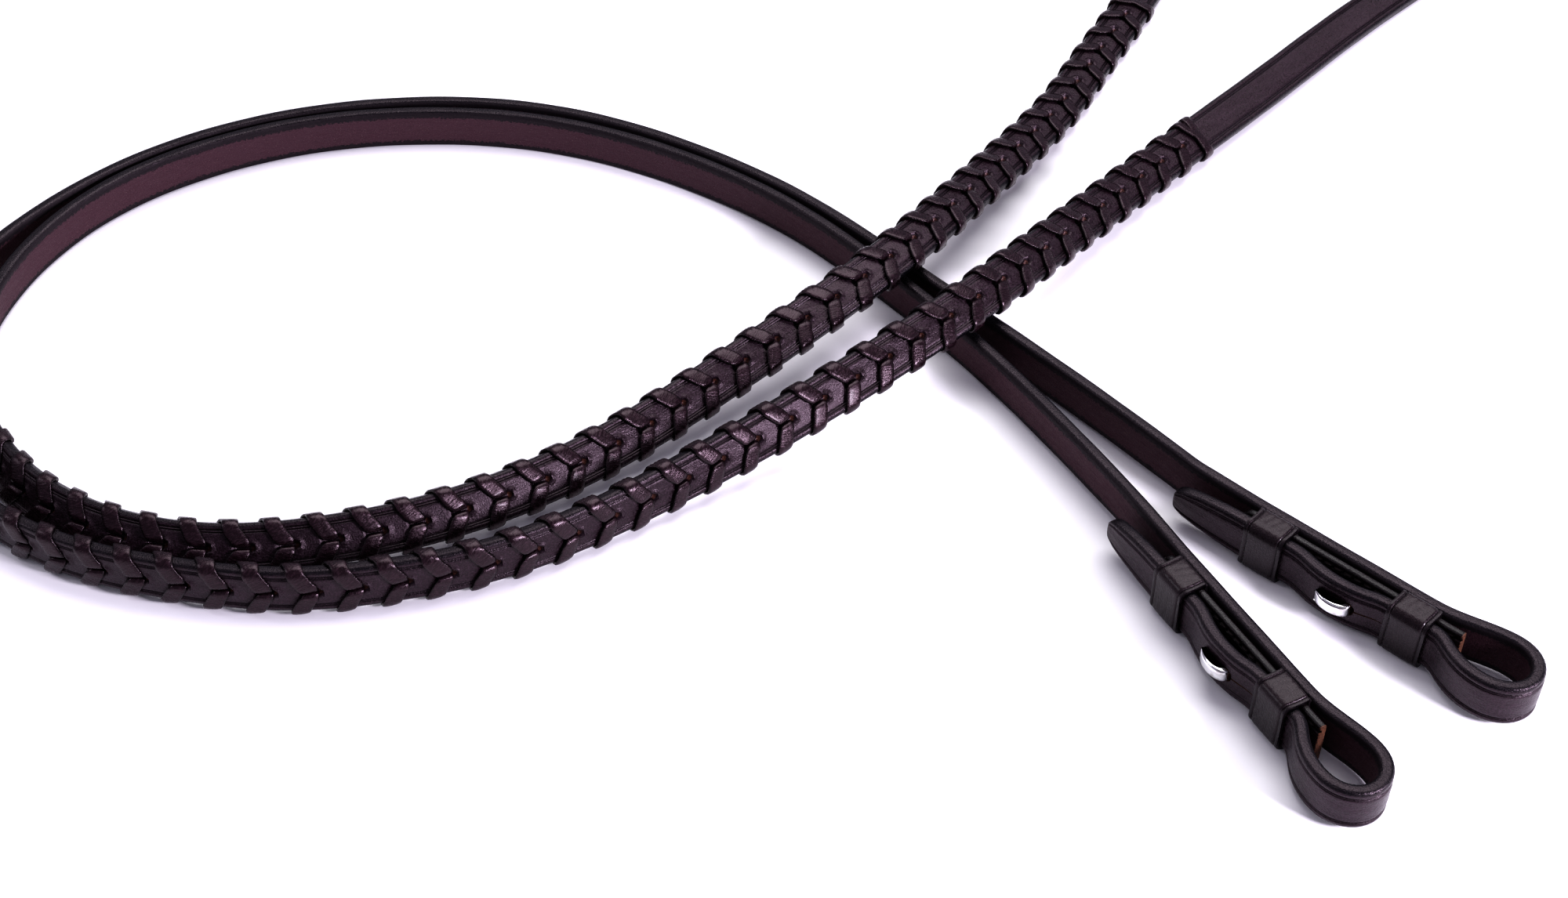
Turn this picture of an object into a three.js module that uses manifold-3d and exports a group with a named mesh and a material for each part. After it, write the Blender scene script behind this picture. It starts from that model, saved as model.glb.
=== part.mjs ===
// A pair of laced leather reins, in millimetres, +Z up, lying on the plane z = 0.
// Each half is one strap: the hook-stud billet tip, the bit loop and the hand part in one piece.
// Every strap piece is drawn flat in strap coordinates and then bent onto its route:
//   s runs along the strap, u across its width, v through its thickness (+v is the grain side).
import * as THREE from 'three';
import { mergeVertices } from 'three/addons/utils/BufferGeometryUtils.js';
import Module from 'manifold-3d';

const wasm = await Module();
wasm.setup();

// ---------- driving dimensions ----------
const clearance = 0.3;
const restGap = 0.05;

const strapWidth = 16;
const strapThickness = 4.5;
const strapChamfer = 1.2;
const pointLength = 28;

const lacePitch = 13.8;
const laceCount = 43;
const laceWidth = 5.4;
const laceThickness = 1.2;
const laceLean = 4.4;
const laceHoleLength = 5.4;
const lastLaceHole = 1448.5;

const liningThickness = 2.5;
const liningOverhang = 5;
const liningTab = 9;
const keeperWidth = 14;
const keeperWall = 1.5;
const keeperTail = 1.1;
const keeperSpacing = 38;
const billetTail = 28;
const billetBow = 3;

const studWidth = 4.5;
const studStem = 2.6;
const studHookLength = 12;
const studHookRise = 3.2;
const studPlateLength = 13;
const studSetback = 12;

const seamInset = 2.3;
const seamWidth = 0.7;
const seamGroove = 0.9;
const stitchPitch = 3.6;

const buckleBar = 2.6;
const buckleSide = 3.2;
const buckleLength = 23;
const skivedThickness = 3;
const chapeLength = 62;
const chapeEndThickness = 1.4;
const tongueWidth = 3;
const tongueThickness = 1.6;
const tongueSlot = 10.5;
const buckleKeeperWidth = 8;
const buckleKeeperSetback = 15;
const pointHolePitch = 22;
const pointHoleCount = 5;
const pointHoleSize = 3.4;

const leftLength = 1659;
const rightLength = 1735;

// ---------- sizes that follow from them ----------
const halfWidth = strapWidth / 2;
const halfThickness = strapThickness / 2;
const bitHeight = halfWidth + clearance + keeperWall;
const billetLevel = liningThickness + clearance + halfThickness;
const mainLevel = -(2 * clearance + keeperTail + halfThickness);
const loopKeeperStart = keeperSpacing;
const loopKeeperEnd = keeperSpacing + keeperWidth;
const studStemEnd = loopKeeperStart - studSetback + studStem / 2;
const seamOffset = halfWidth - seamInset;
const studSlotHalf = studWidth / 2 + clearance;
const laceCover = clearance + laceThickness;
const laceHoleHalf = laceThickness + 1.5 * clearance;
const keeperFar = buckleKeeperSetback + buckleKeeperWidth;
const foldRadius = buckleBar / 2 + 0.2 + clearance + skivedThickness / 2;
const skivedLevel = halfThickness - skivedThickness / 2;
const barLevel = skivedLevel - foldRadius;
const underKeeperLevel = -halfThickness - 2 * clearance - keeperTail - skivedThickness / 2;
const underLevel = -halfThickness - clearance - skivedThickness / 2;
const bitLift = bitHeight - halfWidth;
const buckleDepth = Math.max(foldRadius - barLevel, -underKeeperLevel) + skivedThickness / 2;
const buckleLift = 0.1 + buckleDepth - halfThickness;
const barHeight = restGap + halfThickness + buckleLift + barLevel;
const buckleTilt = -Math.asin((barHeight - buckleSide / 2 - 0.1) / buckleLength);
const crossing = 1.075 * strapWidth;

// ---------- the two routes, as control points ----------
// Each point is [x, y, lift above the resting height, roll in degrees].
// A roll of 0 stands the strap on edge with its grain to the right of the route; 90 lays it grain up.
const leftBit = { x: 105, y: -231.5, along: [0.47, -0.88] };
const rightBit = { x: 137.1, y: -208, along: [0.734, -0.679] };

const leftPlain = [
  [81, -177, 0.83 * bitLift, 0], [58, -136, 0.17 * bitLift, 0], [33, -99, 0, 0], [4, -63, 0, 0],
  [-22, -35, 0, 0], [-54, -11, 0, 0], [-92, 9, 0, 0], [-132, 20, 0, 0], [-174, 21, 0, 0],
  [-214, 14, 0, 0], [-250, -3, 0, 0], [-278, -26, 0, 0], [-297, -57, 0, 2], [-305, -91, 0.5, 7],
  [-303, -123, 1.1, 15],
];
const leftLaced = [
  [-293, -151, 0, 25], [-278, -174, 0, 33], [-257, -192, 0, 39], [-230, -204, 0, 41],
  [-200, -208, 0, 41], [-169, -204, 0, 39], [-137, -195, 0, 38], [-105, -179, 0, 39],
  [-74, -156, 0.05 * crossing, 46], [-45, -130, 0.27 * crossing, 56],
  [-13, -105, 0.73 * crossing, 66], [17, -76, crossing, 72], [40, -40, 0.71 * crossing, 75],
  [61, -3, 0.26 * crossing, 77], [84, 32, 0.06 * crossing, 79], [100, 68, 0.2, 81], [118, 101, 0.2, 84],
];
const leftTail = [
  [132, 134, 0.6, 87], [148, 164, 0.2, 90], [164, 194, 0.3 * buckleLift, 90],
  [179, 223, 0.7 * buckleLift, 90], [194, 252, buckleLift, 90], [209, 281, buckleLift, 90],
  [224, 310, buckleLift, 90],
];

const rightPlain = [
  [109, -175, 0.83 * bitLift, 0], [80, -138, 0.17 * bitLift, 0], [53, -108, 0, 0], [21, -72, 0, 0],
  [-12, -36, 0, 0], [-42, -12, 0, 0], [-84, 13, 0, 0], [-128, 27, 0, 0], [-172, 28, 0, 0],
  [-216, 20, 0, 0], [-256, 1, 0, 0], [-287, -26, 0, 0], [-311, -61, 0.5, 0],
];
const rightLaced = [
  [-323, -99, 0, 0], [-322, -137, 0, 0], [-303, -170, 0, 0], [-276, -197, 0, 0], [-245, -213, 0, 2],
  [-212, -221, 0, 6], [-179, -226, 0, 7], [-147, -221, 0, 6], [-115, -213, 0, 6], [-86, -197, 0, 9],
  [-59, -178, 0.04 * crossing, 19], [-32, -159, 0.18 * crossing, 32], [-5, -140, 0.48 * crossing, 43],
  [22, -121, 0.84 * crossing, 52], [47, -98, 0.97 * crossing, 58], [69, -69, 0.68 * crossing, 62],
  [91, -38, 0.27 * crossing, 64], [115, -8, 0.06 * crossing, 66], [142, 21, 0.2, 66],
];
const rightTail = [
  [169, 51, 0.8, 67], [195, 81, 0.3, 71], [222, 110, 0.1, 77], [249, 136, 0.1, 84],
  [273, 163, 0.1, 90], [297, 190, 0.1, 90], [321, 217, 0.1, 90],
];

// The billet, bit loop and strap of a bit end: [distance towards the loop, distance from the lining].
function bitEndOutline() {
  const b = billetLevel;
  const m = mainLevel;
  const start = loopKeeperStart;
  const end = loopKeeperEnd;
  const stem = studStemEnd - studStem;
  return [
    [-keeperWidth - billetTail, b], [-keeperWidth - 14, b], [-keeperWidth, b], [-5, b], [1, b],
    [6, b], [12, b + 0.7 * billetBow], [stem - 5, b + billetBow], [start - 9, b + 0.7 * billetBow],
    [start - 4, b], [start + 2, b], [end - 6, b], [end - 1, b], [end + 3.5, b], [end + 8, b + 3.2],
    [end + 14.5, 11.6], [end + 24.5, 12.5], [end + 31.5, 8.6], [end + 34.2, 1.6],
    [end + 31.3, -5.4], [end + 24.5, -8.9], [end + 16, -7.9], [end + 8, -5.7],
    [end, m], [end - 7, m], [start, m], [start - 11, m], [start - 24, m], [start - 36, m],
    [-7, m], [-keeperWidth - 2, m], [-keeperWidth - 14, m - 0.3], [-keeperWidth - 28, m - 0.6],
  ];
}

// ---------- route curve: a uniform cubic B-spline that also carries the roll ----------
class Route extends THREE.Curve {
  constructor(points) {
    super();
    const first = points[0].map((value, i) => 2 * value - points[1][i]);
    const last = points.at(-1).map((value, i) => 2 * value - points.at(-2)[i]);
    this.points = [first, ...points, last];
    this.arcLengthDivisions = 6000;
    this.length = this.getLength();
  }

  blend(t) {
    const spans = this.points.length - 3;
    const i = Math.min(Math.floor(t * spans), spans - 1);
    const f = t * spans - i;
    const weights = [
      (1 - f) ** 3 / 6,
      (3 * f ** 3 - 6 * f ** 2 + 4) / 6,
      (-3 * f ** 3 + 3 * f ** 2 + 3 * f + 1) / 6,
      f ** 3 / 6,
    ];
    return [0, 1, 2, 3].map((k) => weights.reduce((sum, w, j) => sum + w * this.points[i + j][k], 0));
  }

  getPoint(t, target = new THREE.Vector3()) {
    const [x, y, z] = this.blend(t);
    return target.set(x, y, z);
  }

  // Origin and axes of the strap's section at distance s along the route.
  section(s) {
    const t = this.getUtoTmapping(THREE.MathUtils.clamp(s / this.length, 0, 1));
    const along = this.getTangent(t);
    const right = new THREE.Vector3(along.y, -along.x, 0).normalize();
    const up = new THREE.Vector3().crossVectors(right, along);
    const roll = THREE.MathUtils.degToRad(this.blend(t)[3]);
    const outward = right.clone().multiplyScalar(Math.cos(roll)).addScaledVector(up, Math.sin(roll));
    const across = up.multiplyScalar(Math.cos(roll)).addScaledVector(right, -Math.sin(roll));
    const origin = this.getPoint(t).addScaledVector(along, s - THREE.MathUtils.clamp(s, 0, this.length));
    return { origin, along, across, outward };
  }

  // The place in space of a point drawn at (s, u, v) on the flat strap.
  place(s, u, v) {
    const { origin, across, outward } = this.section(s);
    return origin.addScaledVector(across, u).addScaledVector(outward, v);
  }
}

// Adds the height at which the strap, laced or plain, rests at its roll.
function raised(points, cover) {
  return points.map(([x, y, lift, roll]) => {
    const angle = THREE.MathUtils.degToRad(roll);
    const rest = (halfWidth + cover) * Math.cos(angle) + (halfThickness + cover) * Math.sin(angle);
    return [x, y, restGap + rest + lift, roll];
  });
}

function routeOf(bit, plain, laced, tail) {
  const along = new THREE.Vector2(...bit.along).normalize();
  const billetSide = new THREE.Vector2(along.y, -along.x);
  const bitEnd = bitEndOutline().map(([e, n]) => [
    bit.x + e * along.x + n * billetSide.x, bit.y + e * along.y + n * billetSide.y, bitHeight, 0,
  ]);
  return new Route([...bitEnd, ...raised(plain, 0), ...raised(laced, laceCover), ...raised(tail, 0)]);
}

const leftCurve = routeOf(leftBit, leftPlain, leftLaced, leftTail);
const rightCurve = routeOf(rightBit, rightPlain, rightLaced, rightTail);

// ---------- geometry helpers ----------
function positionsOnly(geometry) {
  geometry.deleteAttribute('normal');
  geometry.deleteAttribute('uv');
  return mergeVertices(geometry, 1e-5);
}

function reshape(geometry, move) {
  const position = geometry.getAttribute('position');
  for (let i = 0; i < position.count; i += 1) {
    const p = move(position.getX(i), position.getY(i), position.getZ(i));
    position.setXYZ(i, p.x, p.y, p.z);
  }
  return geometry;
}

function toSolid(geometry) {
  const merged = positionsOnly(geometry.clone());
  return new wasm.Manifold(new wasm.Mesh({
    numProp: 3,
    vertProperties: new Float32Array(merged.getAttribute('position').array),
    triVerts: new Uint32Array(merged.index.array),
  }));
}

function fromSolid(solid) {
  const mesh = solid.getMesh();
  const result = new THREE.BufferGeometry();
  result.setAttribute('position', new THREE.BufferAttribute(new Float32Array(mesh.vertProperties), 3));
  result.setIndex(new THREE.BufferAttribute(new Uint32Array(mesh.triVerts), 1));
  return result;
}

function subtractAll(geometry, cutters) {
  let solid = toSolid(geometry);
  for (const cutter of cutters) {
    solid = solid.subtract(toSolid(cutter));
  }
  return fromSolid(solid);
}

// A closed strip whose section shape (x, y) is carried through numbered stations.
function strip(shape, stations, pointAt) {
  const steps = stations.length - 1;
  const geometry = new THREE.ExtrudeGeometry(shape, { depth: steps, steps, bevelEnabled: false });
  return reshape(positionsOnly(geometry), (x, y, z) => pointAt(stations[Math.round(z)], x, y));
}

function boxBetween(low, high) {
  const size = high.map((value, i) => value - low[i]);
  const box = new THREE.BoxGeometry(...size);
  return box.translate(...low.map((value, i) => value + size[i] / 2));
}

function polygon(points) {
  return new THREE.Shape(points.map(([x, y]) => new THREE.Vector2(x, y)));
}

// Section of a strap with bevelled edges, counter-clockwise, in unit half sizes.
function strapSection(width, thickness, chamfer) {
  const w = width / 2;
  const t = thickness / 2;
  return polygon([
    [w - chamfer, -t], [w, -t + chamfer], [w, t - chamfer], [w - chamfer, t],
    [-w + chamfer, t], [-w, t - chamfer], [-w, -t + chamfer], [-w + chamfer, -t],
  ]);
}

// ---------- straps ----------
// Distances between sections: short where the route turns, longer where it runs straight.
function sectionDistances(curve, from, to) {
  const longest = 13;
  const shortest = 2.2;
  const sag = 0.1;
  const allowed = (s) => {
    const turn = curve.section(s).along.angleTo(curve.section(s + 2).along) / 2;
    return THREE.MathUtils.clamp(Math.sqrt(8 * sag / Math.max(turn, 1e-5)), shortest, longest);
  };
  const distances = [from];
  let s = from;
  while (s < to) {
    let step = longest;
    for (let ahead = 0; ahead < longest; ahead += 1.5) {
      step = Math.min(step, Math.max(ahead, allowed(s + ahead)));
    }
    s = to - s < step * 1.3 ? to : s + step;
    distances.push(s);
  }
  return distances;
}

// Half width of an English point, measured from its end.
function pointHalfWidth(distance) {
  const outline = [[0, 2.2], [1.5, 4.1], [4, 5.3], [10, 6.5], [18, 7.5], [pointLength, halfWidth]];
  const i = outline.findIndex(([d]) => d >= distance);
  if (i < 0) return halfWidth;
  if (i === 0) return outline[0][1];
  const [d0, w0] = outline[i - 1];
  const [d1, w1] = outline[i];
  return Math.min(halfWidth, w0 + (w1 - w0) * (distance - d0) / (d1 - d0));
}

const pointStations = [0, 1.5, 4, 10, 18, pointLength];

function flatStation(s, width) {
  return { s, v: 0, pitch: 0, width, thickness: strapThickness };
}

function billetAndBody(curve, to) {
  const body = sectionDistances(curve, pointLength + 5, to).map((s) => flatStation(s, halfWidth));
  return [...pointStations.map((s) => flatStation(s, pointHalfWidth(s))), ...body];
}

// Where the strap is folded round the buckle bar and sewn back under itself.

function chapeStations() {
  const station = (back, v, thickness, pitch) => (
    { s: leftLength - back, v, pitch, width: halfWidth, thickness }
  );
  const fold = [];
  const foldSteps = 8;
  for (let i = 1; i < foldSteps; i += 1) {
    const angle = Math.PI * i / foldSteps;
    fold.push({
      s: leftLength + foldRadius * Math.sin(angle),
      v: barLevel + foldRadius * Math.cos(angle),
      pitch: -angle,
      width: halfWidth,
      thickness: skivedThickness,
    });
  }
  return [
    station(keeperFar + 4, 0, strapThickness, 0),
    station(buckleKeeperSetback - 2, 0, strapThickness, 0),
    station(5, skivedLevel, skivedThickness, 0),
    station(0, skivedLevel, skivedThickness, 0),
    ...fold,
    station(0, barLevel - foldRadius, skivedThickness, -Math.PI),
    station(buckleKeeperSetback - 3, underKeeperLevel, skivedThickness, -Math.PI),
    station(keeperFar + 2, underKeeperLevel, skivedThickness, -Math.PI),
    station(keeperFar + 12, underLevel, skivedThickness, -Math.PI),
    station(chapeLength - 14, underLevel, skivedThickness, -Math.PI),
    station(chapeLength, underLevel + (skivedThickness - chapeEndThickness) / 2,
      chapeEndThickness, -Math.PI),
  ];
}

function strapSolid(curve, stations) {
  const section = strapSection(strapWidth, strapThickness, strapChamfer);
  return strip(section, stations, (station, x, y) => {
    const u = x * station.width / halfWidth;
    const h = y * station.thickness / strapThickness;
    const s = station.s - Math.sin(station.pitch) * h;
    return curve.place(s, u, station.v + Math.cos(station.pitch) * h);
  });
}

function laceHoleDistances() {
  return Array.from({ length: laceCount }, (_, i) => lastLaceHole - lacePitch * (laceCount - 1 - i));
}

// A small box drawn on the flat strap and bent with it, used to punch holes.
function punch(curve, s, halfLength, halfAcross, from = -halfThickness - 2, to = halfThickness + 2) {
  const box = boxBetween([-halfLength, -halfAcross, from], [halfLength, halfAcross, to]);
  const { origin, along, across, outward } = curve.section(s);
  const turn = new THREE.Matrix4().makeBasis(along, across, outward).setPosition(origin);
  return box.applyMatrix4(turn);
}

function laceHolePunches(curve) {
  return laceHoleDistances().map((s) => punch(curve, s, laceHoleLength / 2, laceHoleHalf));
}

// ---------- bit-end pieces: x towards the bit loop, y away from the billet, z up ----------
function bitFrame(bit, shift = 0) {
  const turn = new THREE.Matrix4().makeRotationZ(Math.atan2(bit.along[1], bit.along[0]));
  turn.setPosition(bit.x, bit.y, bitHeight);
  return turn.multiply(new THREE.Matrix4().makeTranslation(shift, 0, 0));
}

// The hole and slit that let the billet button over the stud.
function studHolePunches(bit) {
  const low = billetLevel - halfThickness - 1;
  const high = billetLevel + halfThickness + billetBow + 1;
  const hole = boxBetween(
    [studStemEnd - studStem - clearance, -high, -studSlotHalf],
    [studStemEnd + clearance, -low, studSlotHalf],
  );
  const slit = boxBetween(
    [studStemEnd, -high, -0.4],
    [loopKeeperStart - 0.5, -low, 0.4],
  );
  return [hole, slit].map((cutter) => cutter.applyMatrix4(bitFrame(bit)));
}

function liningGeometry() {
  const w = halfWidth;
  const t = liningThickness;
  const groove = seamWidth / 2 + clearance;
  const front = [seamOffset, -seamOffset].flatMap((u) => [
    [u + groove, t], [u + groove, t - seamGroove], [u - groove, t - seamGroove], [u - groove, t],
  ]);
  const section = polygon([[-w, 0], [w, 0], [w, t], ...front, [-w, t]]);
  const start = -keeperWidth - liningOverhang;
  const ends = [start, loopKeeperEnd + liningTab];
  const solid = strip(section, ends, (x, u, n) => new THREE.Vector3(x, -n, u));
  const stem = boxBetween(
    [studStemEnd - studStem - clearance, -t - 1, -studSlotHalf],
    [studStemEnd + clearance, 1, studSlotHalf],
  );
  return subtractAll(solid, [stem]);
}

// Saddle-stitched thread lying in a groove: one bump for each stitch.
function seamGeometry(from, to, floor, top, floorSteps, pointAt) {
  const count = Math.max(1, Math.round((to - from) / stitchPitch));
  const pitch = (to - from) / count;
  const outline = [];
  for (let i = 0; i <= floorSteps; i += 1) {
    outline.push([from + (to - from) * i / floorSteps, floor]);
  }
  for (let i = count - 1; i >= 0; i -= 1) {
    const s = from + i * pitch;
    outline.push([s + 0.97 * pitch, floor + 0.25], [s + 0.72 * pitch, top]);
    outline.push([s + 0.28 * pitch, top], [s + 0.03 * pitch, floor + 0.25]);
  }
  const sides = [seamWidth / 2, -seamWidth / 2];
  return strip(polygon(outline), sides, (side, s, v) => pointAt(s, side, v));
}

function liningSeamGeometry(u) {
  const floor = liningThickness - seamGroove + clearance / 2;
  const from = -keeperWidth - liningOverhang + 2;
  const to = loopKeeperEnd + liningTab - 2;
  const place = (s, side, v) => new THREE.Vector3(s, -v, u + side);
  return seamGeometry(from, to, floor, liningThickness + 0.05, 1, place);
}

function keeperGeometry() {
  const top = halfWidth + clearance + keeperWall;
  const inner = halfWidth + clearance;
  const back = -clearance;
  const front = liningThickness + strapThickness + 2 * clearance;
  const shape = polygon([
    [back - keeperTail, -top + 1], [back - keeperTail + 1, -top], [front + keeperWall - 2, -top],
    [front + keeperWall, -top + 2], [front + keeperWall, top - 2], [front + keeperWall - 2, top],
    [back - keeperTail + 1, top], [back - keeperTail, top - 1],
  ]);
  shape.holes.push(polygon([
    [back, -inner], [back, inner], [front - 0.2, inner], [front, inner - 0.2],
    [front, -inner + 0.2], [front - 0.2, -inner],
  ]));
  const ends = [keeperWidth, 0];
  return strip(shape, ends, (x, n, u) => new THREE.Vector3(x, -n, u));
}

// Plate under the lining, stem through it, and the hook that curls over the billet.
function hookStudGeometry() {
  const stemEnd = studStemEnd;
  const stemStart = stemEnd - studStem;
  const plateTop = -clearance;
  const plateBottom = -clearance - keeperTail;
  const face = billetLevel + halfThickness + 0.9 * billetBow;
  const tip = stemEnd - studHookLength;
  const shape = new THREE.Shape();
  shape.moveTo(stemEnd + 2, plateBottom);
  shape.lineTo(stemEnd + 2, plateTop);
  shape.lineTo(stemEnd, plateTop);
  shape.lineTo(stemEnd, face);
  shape.bezierCurveTo(stemEnd, face + studHookRise, tip + 3, face + studHookRise + 1.4, tip, face + 0.9);
  shape.lineTo(tip + 0.5, face + 0.45);
  shape.bezierCurveTo(tip + 4, face + 2.4, stemStart, face + 2, stemStart, face - 0.4);
  shape.lineTo(stemStart, plateTop);
  shape.lineTo(stemEnd + 2 - studPlateLength, plateTop);
  shape.lineTo(stemEnd + 2 - studPlateLength, plateBottom);
  const geometry = new THREE.ExtrudeGeometry(shape, {
    depth: studWidth - 0.8, bevelThickness: 0.4, bevelSize: 0.25, bevelOffset: -0.25,
    bevelSegments: 1, curveSegments: 8,
  });
  return reshape(positionsOnly(geometry), (e, n, z) => (
    new THREE.Vector3(e, -n, studWidth / 2 - 0.4 - z)
  ));
}

// ---------- lace ----------
// One thong: over the upper edge, forward to a centre hole, through it and back to the lower edge,
// then across the flesh side to the upper edge one pitch further on.
function laceStations() {
  const flat = halfWidth - strapChamfer;
  const side = halfThickness - strapChamfer;
  const miter = Math.tan(Math.PI / 8);
  const corners = [
    (d) => [flat + miter * d, halfThickness + d],
    (d) => [halfWidth + d, side + miter * d],
    (d) => [halfWidth + d, -side - miter * d],
    (d) => [flat + miter * d, -halfThickness - d],
  ];
  const edge = (sign, s, offsets) => corners.map((corner, i) => {
    const [innerU, innerV] = corner(clearance);
    const [outerU, outerV] = corner(laceCover);
    const half = 0.55 * laceWidth;
    return { s: s + offsets[i], half, inner: [sign * innerU, innerV], outer: [sign * outerU, outerV] };
  });
  const gap = clearance / 2;
  const rim = gap + laceThickness;
  const half = laceHoleLength / 2 - clearance;
  const over = halfThickness + clearance;
  const hole = (s) => [
    { s, half, inner: [rim, over], outer: [gap, over + laceThickness] },
    { s, half, inner: [0, -1.4], outer: [0, -0.1] },
    { s, half, inner: [-rim, over], outer: [-gap, over + laceThickness] },
  ];
  const behind = (s, u) => (
    { s, half: 0.55 * laceWidth, inner: [u, -over], outer: [u, -over - laceThickness] }
  );
  const holes = laceHoleDistances();
  const rows = holes.flatMap((s) => [
    ...edge(1, s - laceLean, [1.4, 0.5, -0.5, -1.4]).reverse(),
    ...hole(s),
    ...edge(-1, s - laceLean, [0.6, 0, 0, 0.6]),
  ]);
  return [behind(holes[0] - laceLean - 8, -1), ...rows, behind(holes.at(-1) - laceLean + 7, 0)];
}

function laceGeometry(curve) {
  const section = polygon([[-0.5, 0], [0.5, 0], [0.5, 1], [-0.5, 1]]);
  return strip(section, laceStations(), (row, x, y) => {
    const u = row.inner[0] + (row.outer[0] - row.inner[0]) * y;
    const v = row.inner[1] + (row.outer[1] - row.inner[1]) * y;
    return curve.place(row.s + 2 * x * row.half, u, v);
  });
}

// ---------- buckle end, on the left half ----------
// Axes at the bar: x away from the strap, y across, z towards the grain side.
function barFrame(tilt = 0) {
  const { along, across, outward } = leftCurve.section(leftLength);
  const turn = new THREE.Matrix4().makeBasis(along, across, outward);
  turn.setPosition(leftCurve.place(leftLength, 0, barLevel));
  return turn.multiply(new THREE.Matrix4().makeRotationY(-tilt));
}

function buckleFrameGeometry() {
  const inside = halfWidth + 2 * clearance;
  const outside = inside + buckleSide;
  const back = -buckleSide / 2;
  const shape = polygon([
    [back, -outside], [buckleLength - 3, -outside], [buckleLength, -outside + 3],
    [buckleLength, outside - 3], [buckleLength - 3, outside], [back, outside], [back, inside],
    [buckleLength - buckleSide - 1, inside], [buckleLength - buckleSide, inside - 1],
    [buckleLength - buckleSide, -inside + 1], [buckleLength - buckleSide - 1, -inside],
    [back, -inside],
  ]);
  const bevel = 0.6;
  const hoop = new THREE.ExtrudeGeometry(shape, {
    depth: buckleSide - 2 * bevel, bevelThickness: bevel, bevelSize: bevel, bevelOffset: -bevel,
    bevelSegments: 1,
  });
  hoop.translate(0, 0, bevel - buckleSide / 2);
  const disc = new THREE.Shape();
  disc.absarc(0, 0, buckleBar / 2, 0, 2 * Math.PI);
  const length = 2 * outside - buckleSide;
  const bar = new THREE.ExtrudeGeometry(disc, { depth: length, bevelEnabled: false, curveSegments: 8 });
  bar.rotateX(Math.PI / 2).translate(0, length / 2, 0);
  return fromSolid(toSolid(hoop).add(toSolid(bar)));
}

function buckleTongueGeometry() {
  const bore = buckleBar / 2 + clearance;
  const rim = bore + tongueThickness;
  const low = buckleSide / 2 + clearance;
  const reach = buckleLength + 1.5;
  const shape = new THREE.Shape();
  shape.moveTo(0, rim);
  shape.absarc(0, 0, rim, Math.PI / 2, 2 * Math.PI + Math.asin(low / rim), false);
  shape.lineTo(reach - 1, low);
  shape.lineTo(reach, low + 0.5);
  shape.lineTo(reach - 0.5, rim - 0.4);
  shape.lineTo(reach - 5, rim);
  const ring = new THREE.Path();
  ring.absarc(0, 0, bore, 0, 2 * Math.PI, true);
  shape.holes.push(ring);
  const geometry = new THREE.ExtrudeGeometry(shape, {
    depth: tongueWidth, bevelEnabled: false, curveSegments: 10,
  });
  return positionsOnly(geometry.rotateX(Math.PI / 2).translate(0, tongueWidth / 2, 0));
}

// Fixed keeper beside the buckle: its lower wall lies between the strap and the turned-back end.
function buckleKeeperGeometry() {
  const inner = halfWidth + clearance;
  const outer = inner + keeperWall;
  const low = -halfThickness - clearance;
  const high = halfThickness + strapThickness + 2 * clearance;
  const base = low - keeperTail;
  const shape = polygon([
    [-outer + 1, base], [outer - 1, base], [outer, base + 1], [outer, high + keeperWall - 2],
    [outer - 2, high + keeperWall], [-outer + 2, high + keeperWall],
    [-outer, high + keeperWall - 2], [-outer, base + 1],
  ]);
  shape.holes.push(polygon([[-inner, low], [inner, low], [inner, high], [-inner, high]]));
  const ends = [leftLength - keeperFar, leftLength - buckleKeeperSetback];
  return strip(shape, ends, (s, u, v) => leftCurve.place(s, u, v));
}

function chapeSeamSpan() {
  return [leftLength - chapeLength + 3, leftLength - keeperFar - 3];
}

function chapeGrooves() {
  const [from, to] = chapeSeamSpan();
  const half = seamWidth / 2 + clearance;
  const stations = Array.from({ length: 6 }, (_, i) => from - 0.6 + (to - from + 1.2) * i / 5);
  return [seamOffset, -seamOffset].map((u) => {
    const section = polygon([
      [u - half, halfThickness - seamGroove], [u + half, halfThickness - seamGroove],
      [u + half, halfThickness + 1], [u - half, halfThickness + 1],
    ]);
    return strip(section, stations, (s, x, v) => leftCurve.place(s, x, v));
  });
}

function chapeSeamGeometry(u) {
  const [from, to] = chapeSeamSpan();
  const floor = halfThickness - seamGroove + clearance / 2;
  const place = (s, side, v) => leftCurve.place(s, u + side, v);
  return seamGeometry(from, to, floor, halfThickness + 0.05, 6, place);
}

// ---------- the two straps ----------
function leftStrapGeometry() {
  const body = billetAndBody(leftCurve, leftLength - keeperFar - 12);
  const strap = strapSolid(leftCurve, [...body, ...chapeStations()]);
  const slot = punch(leftCurve, leftLength - tongueSlot / 2 + 4, tongueSlot / 2 + 4,
    tongueWidth / 2 + clearance, barLevel - 10, halfThickness + 5);
  return subtractAll(strap, [
    ...studHolePunches(leftBit), ...laceHolePunches(leftCurve), slot, ...chapeGrooves(),
  ]);
}

function rightStrapGeometry() {
  const body = billetAndBody(rightCurve, rightLength - pointLength - 5);
  const point = pointStations.map((d) => flatStation(rightLength - d, pointHalfWidth(d))).reverse();
  const strap = strapSolid(rightCurve, [...body, ...point]);
  const holes = Array.from({ length: pointHoleCount }, (_, i) => (
    punch(rightCurve, rightLength - pointLength - 6 - pointHolePitch * i,
      pointHoleSize / 2, pointHoleSize / 2)
  ));
  return subtractAll(strap, [
    ...studHolePunches(rightBit), ...laceHolePunches(rightCurve), ...holes,
  ]);
}

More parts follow.
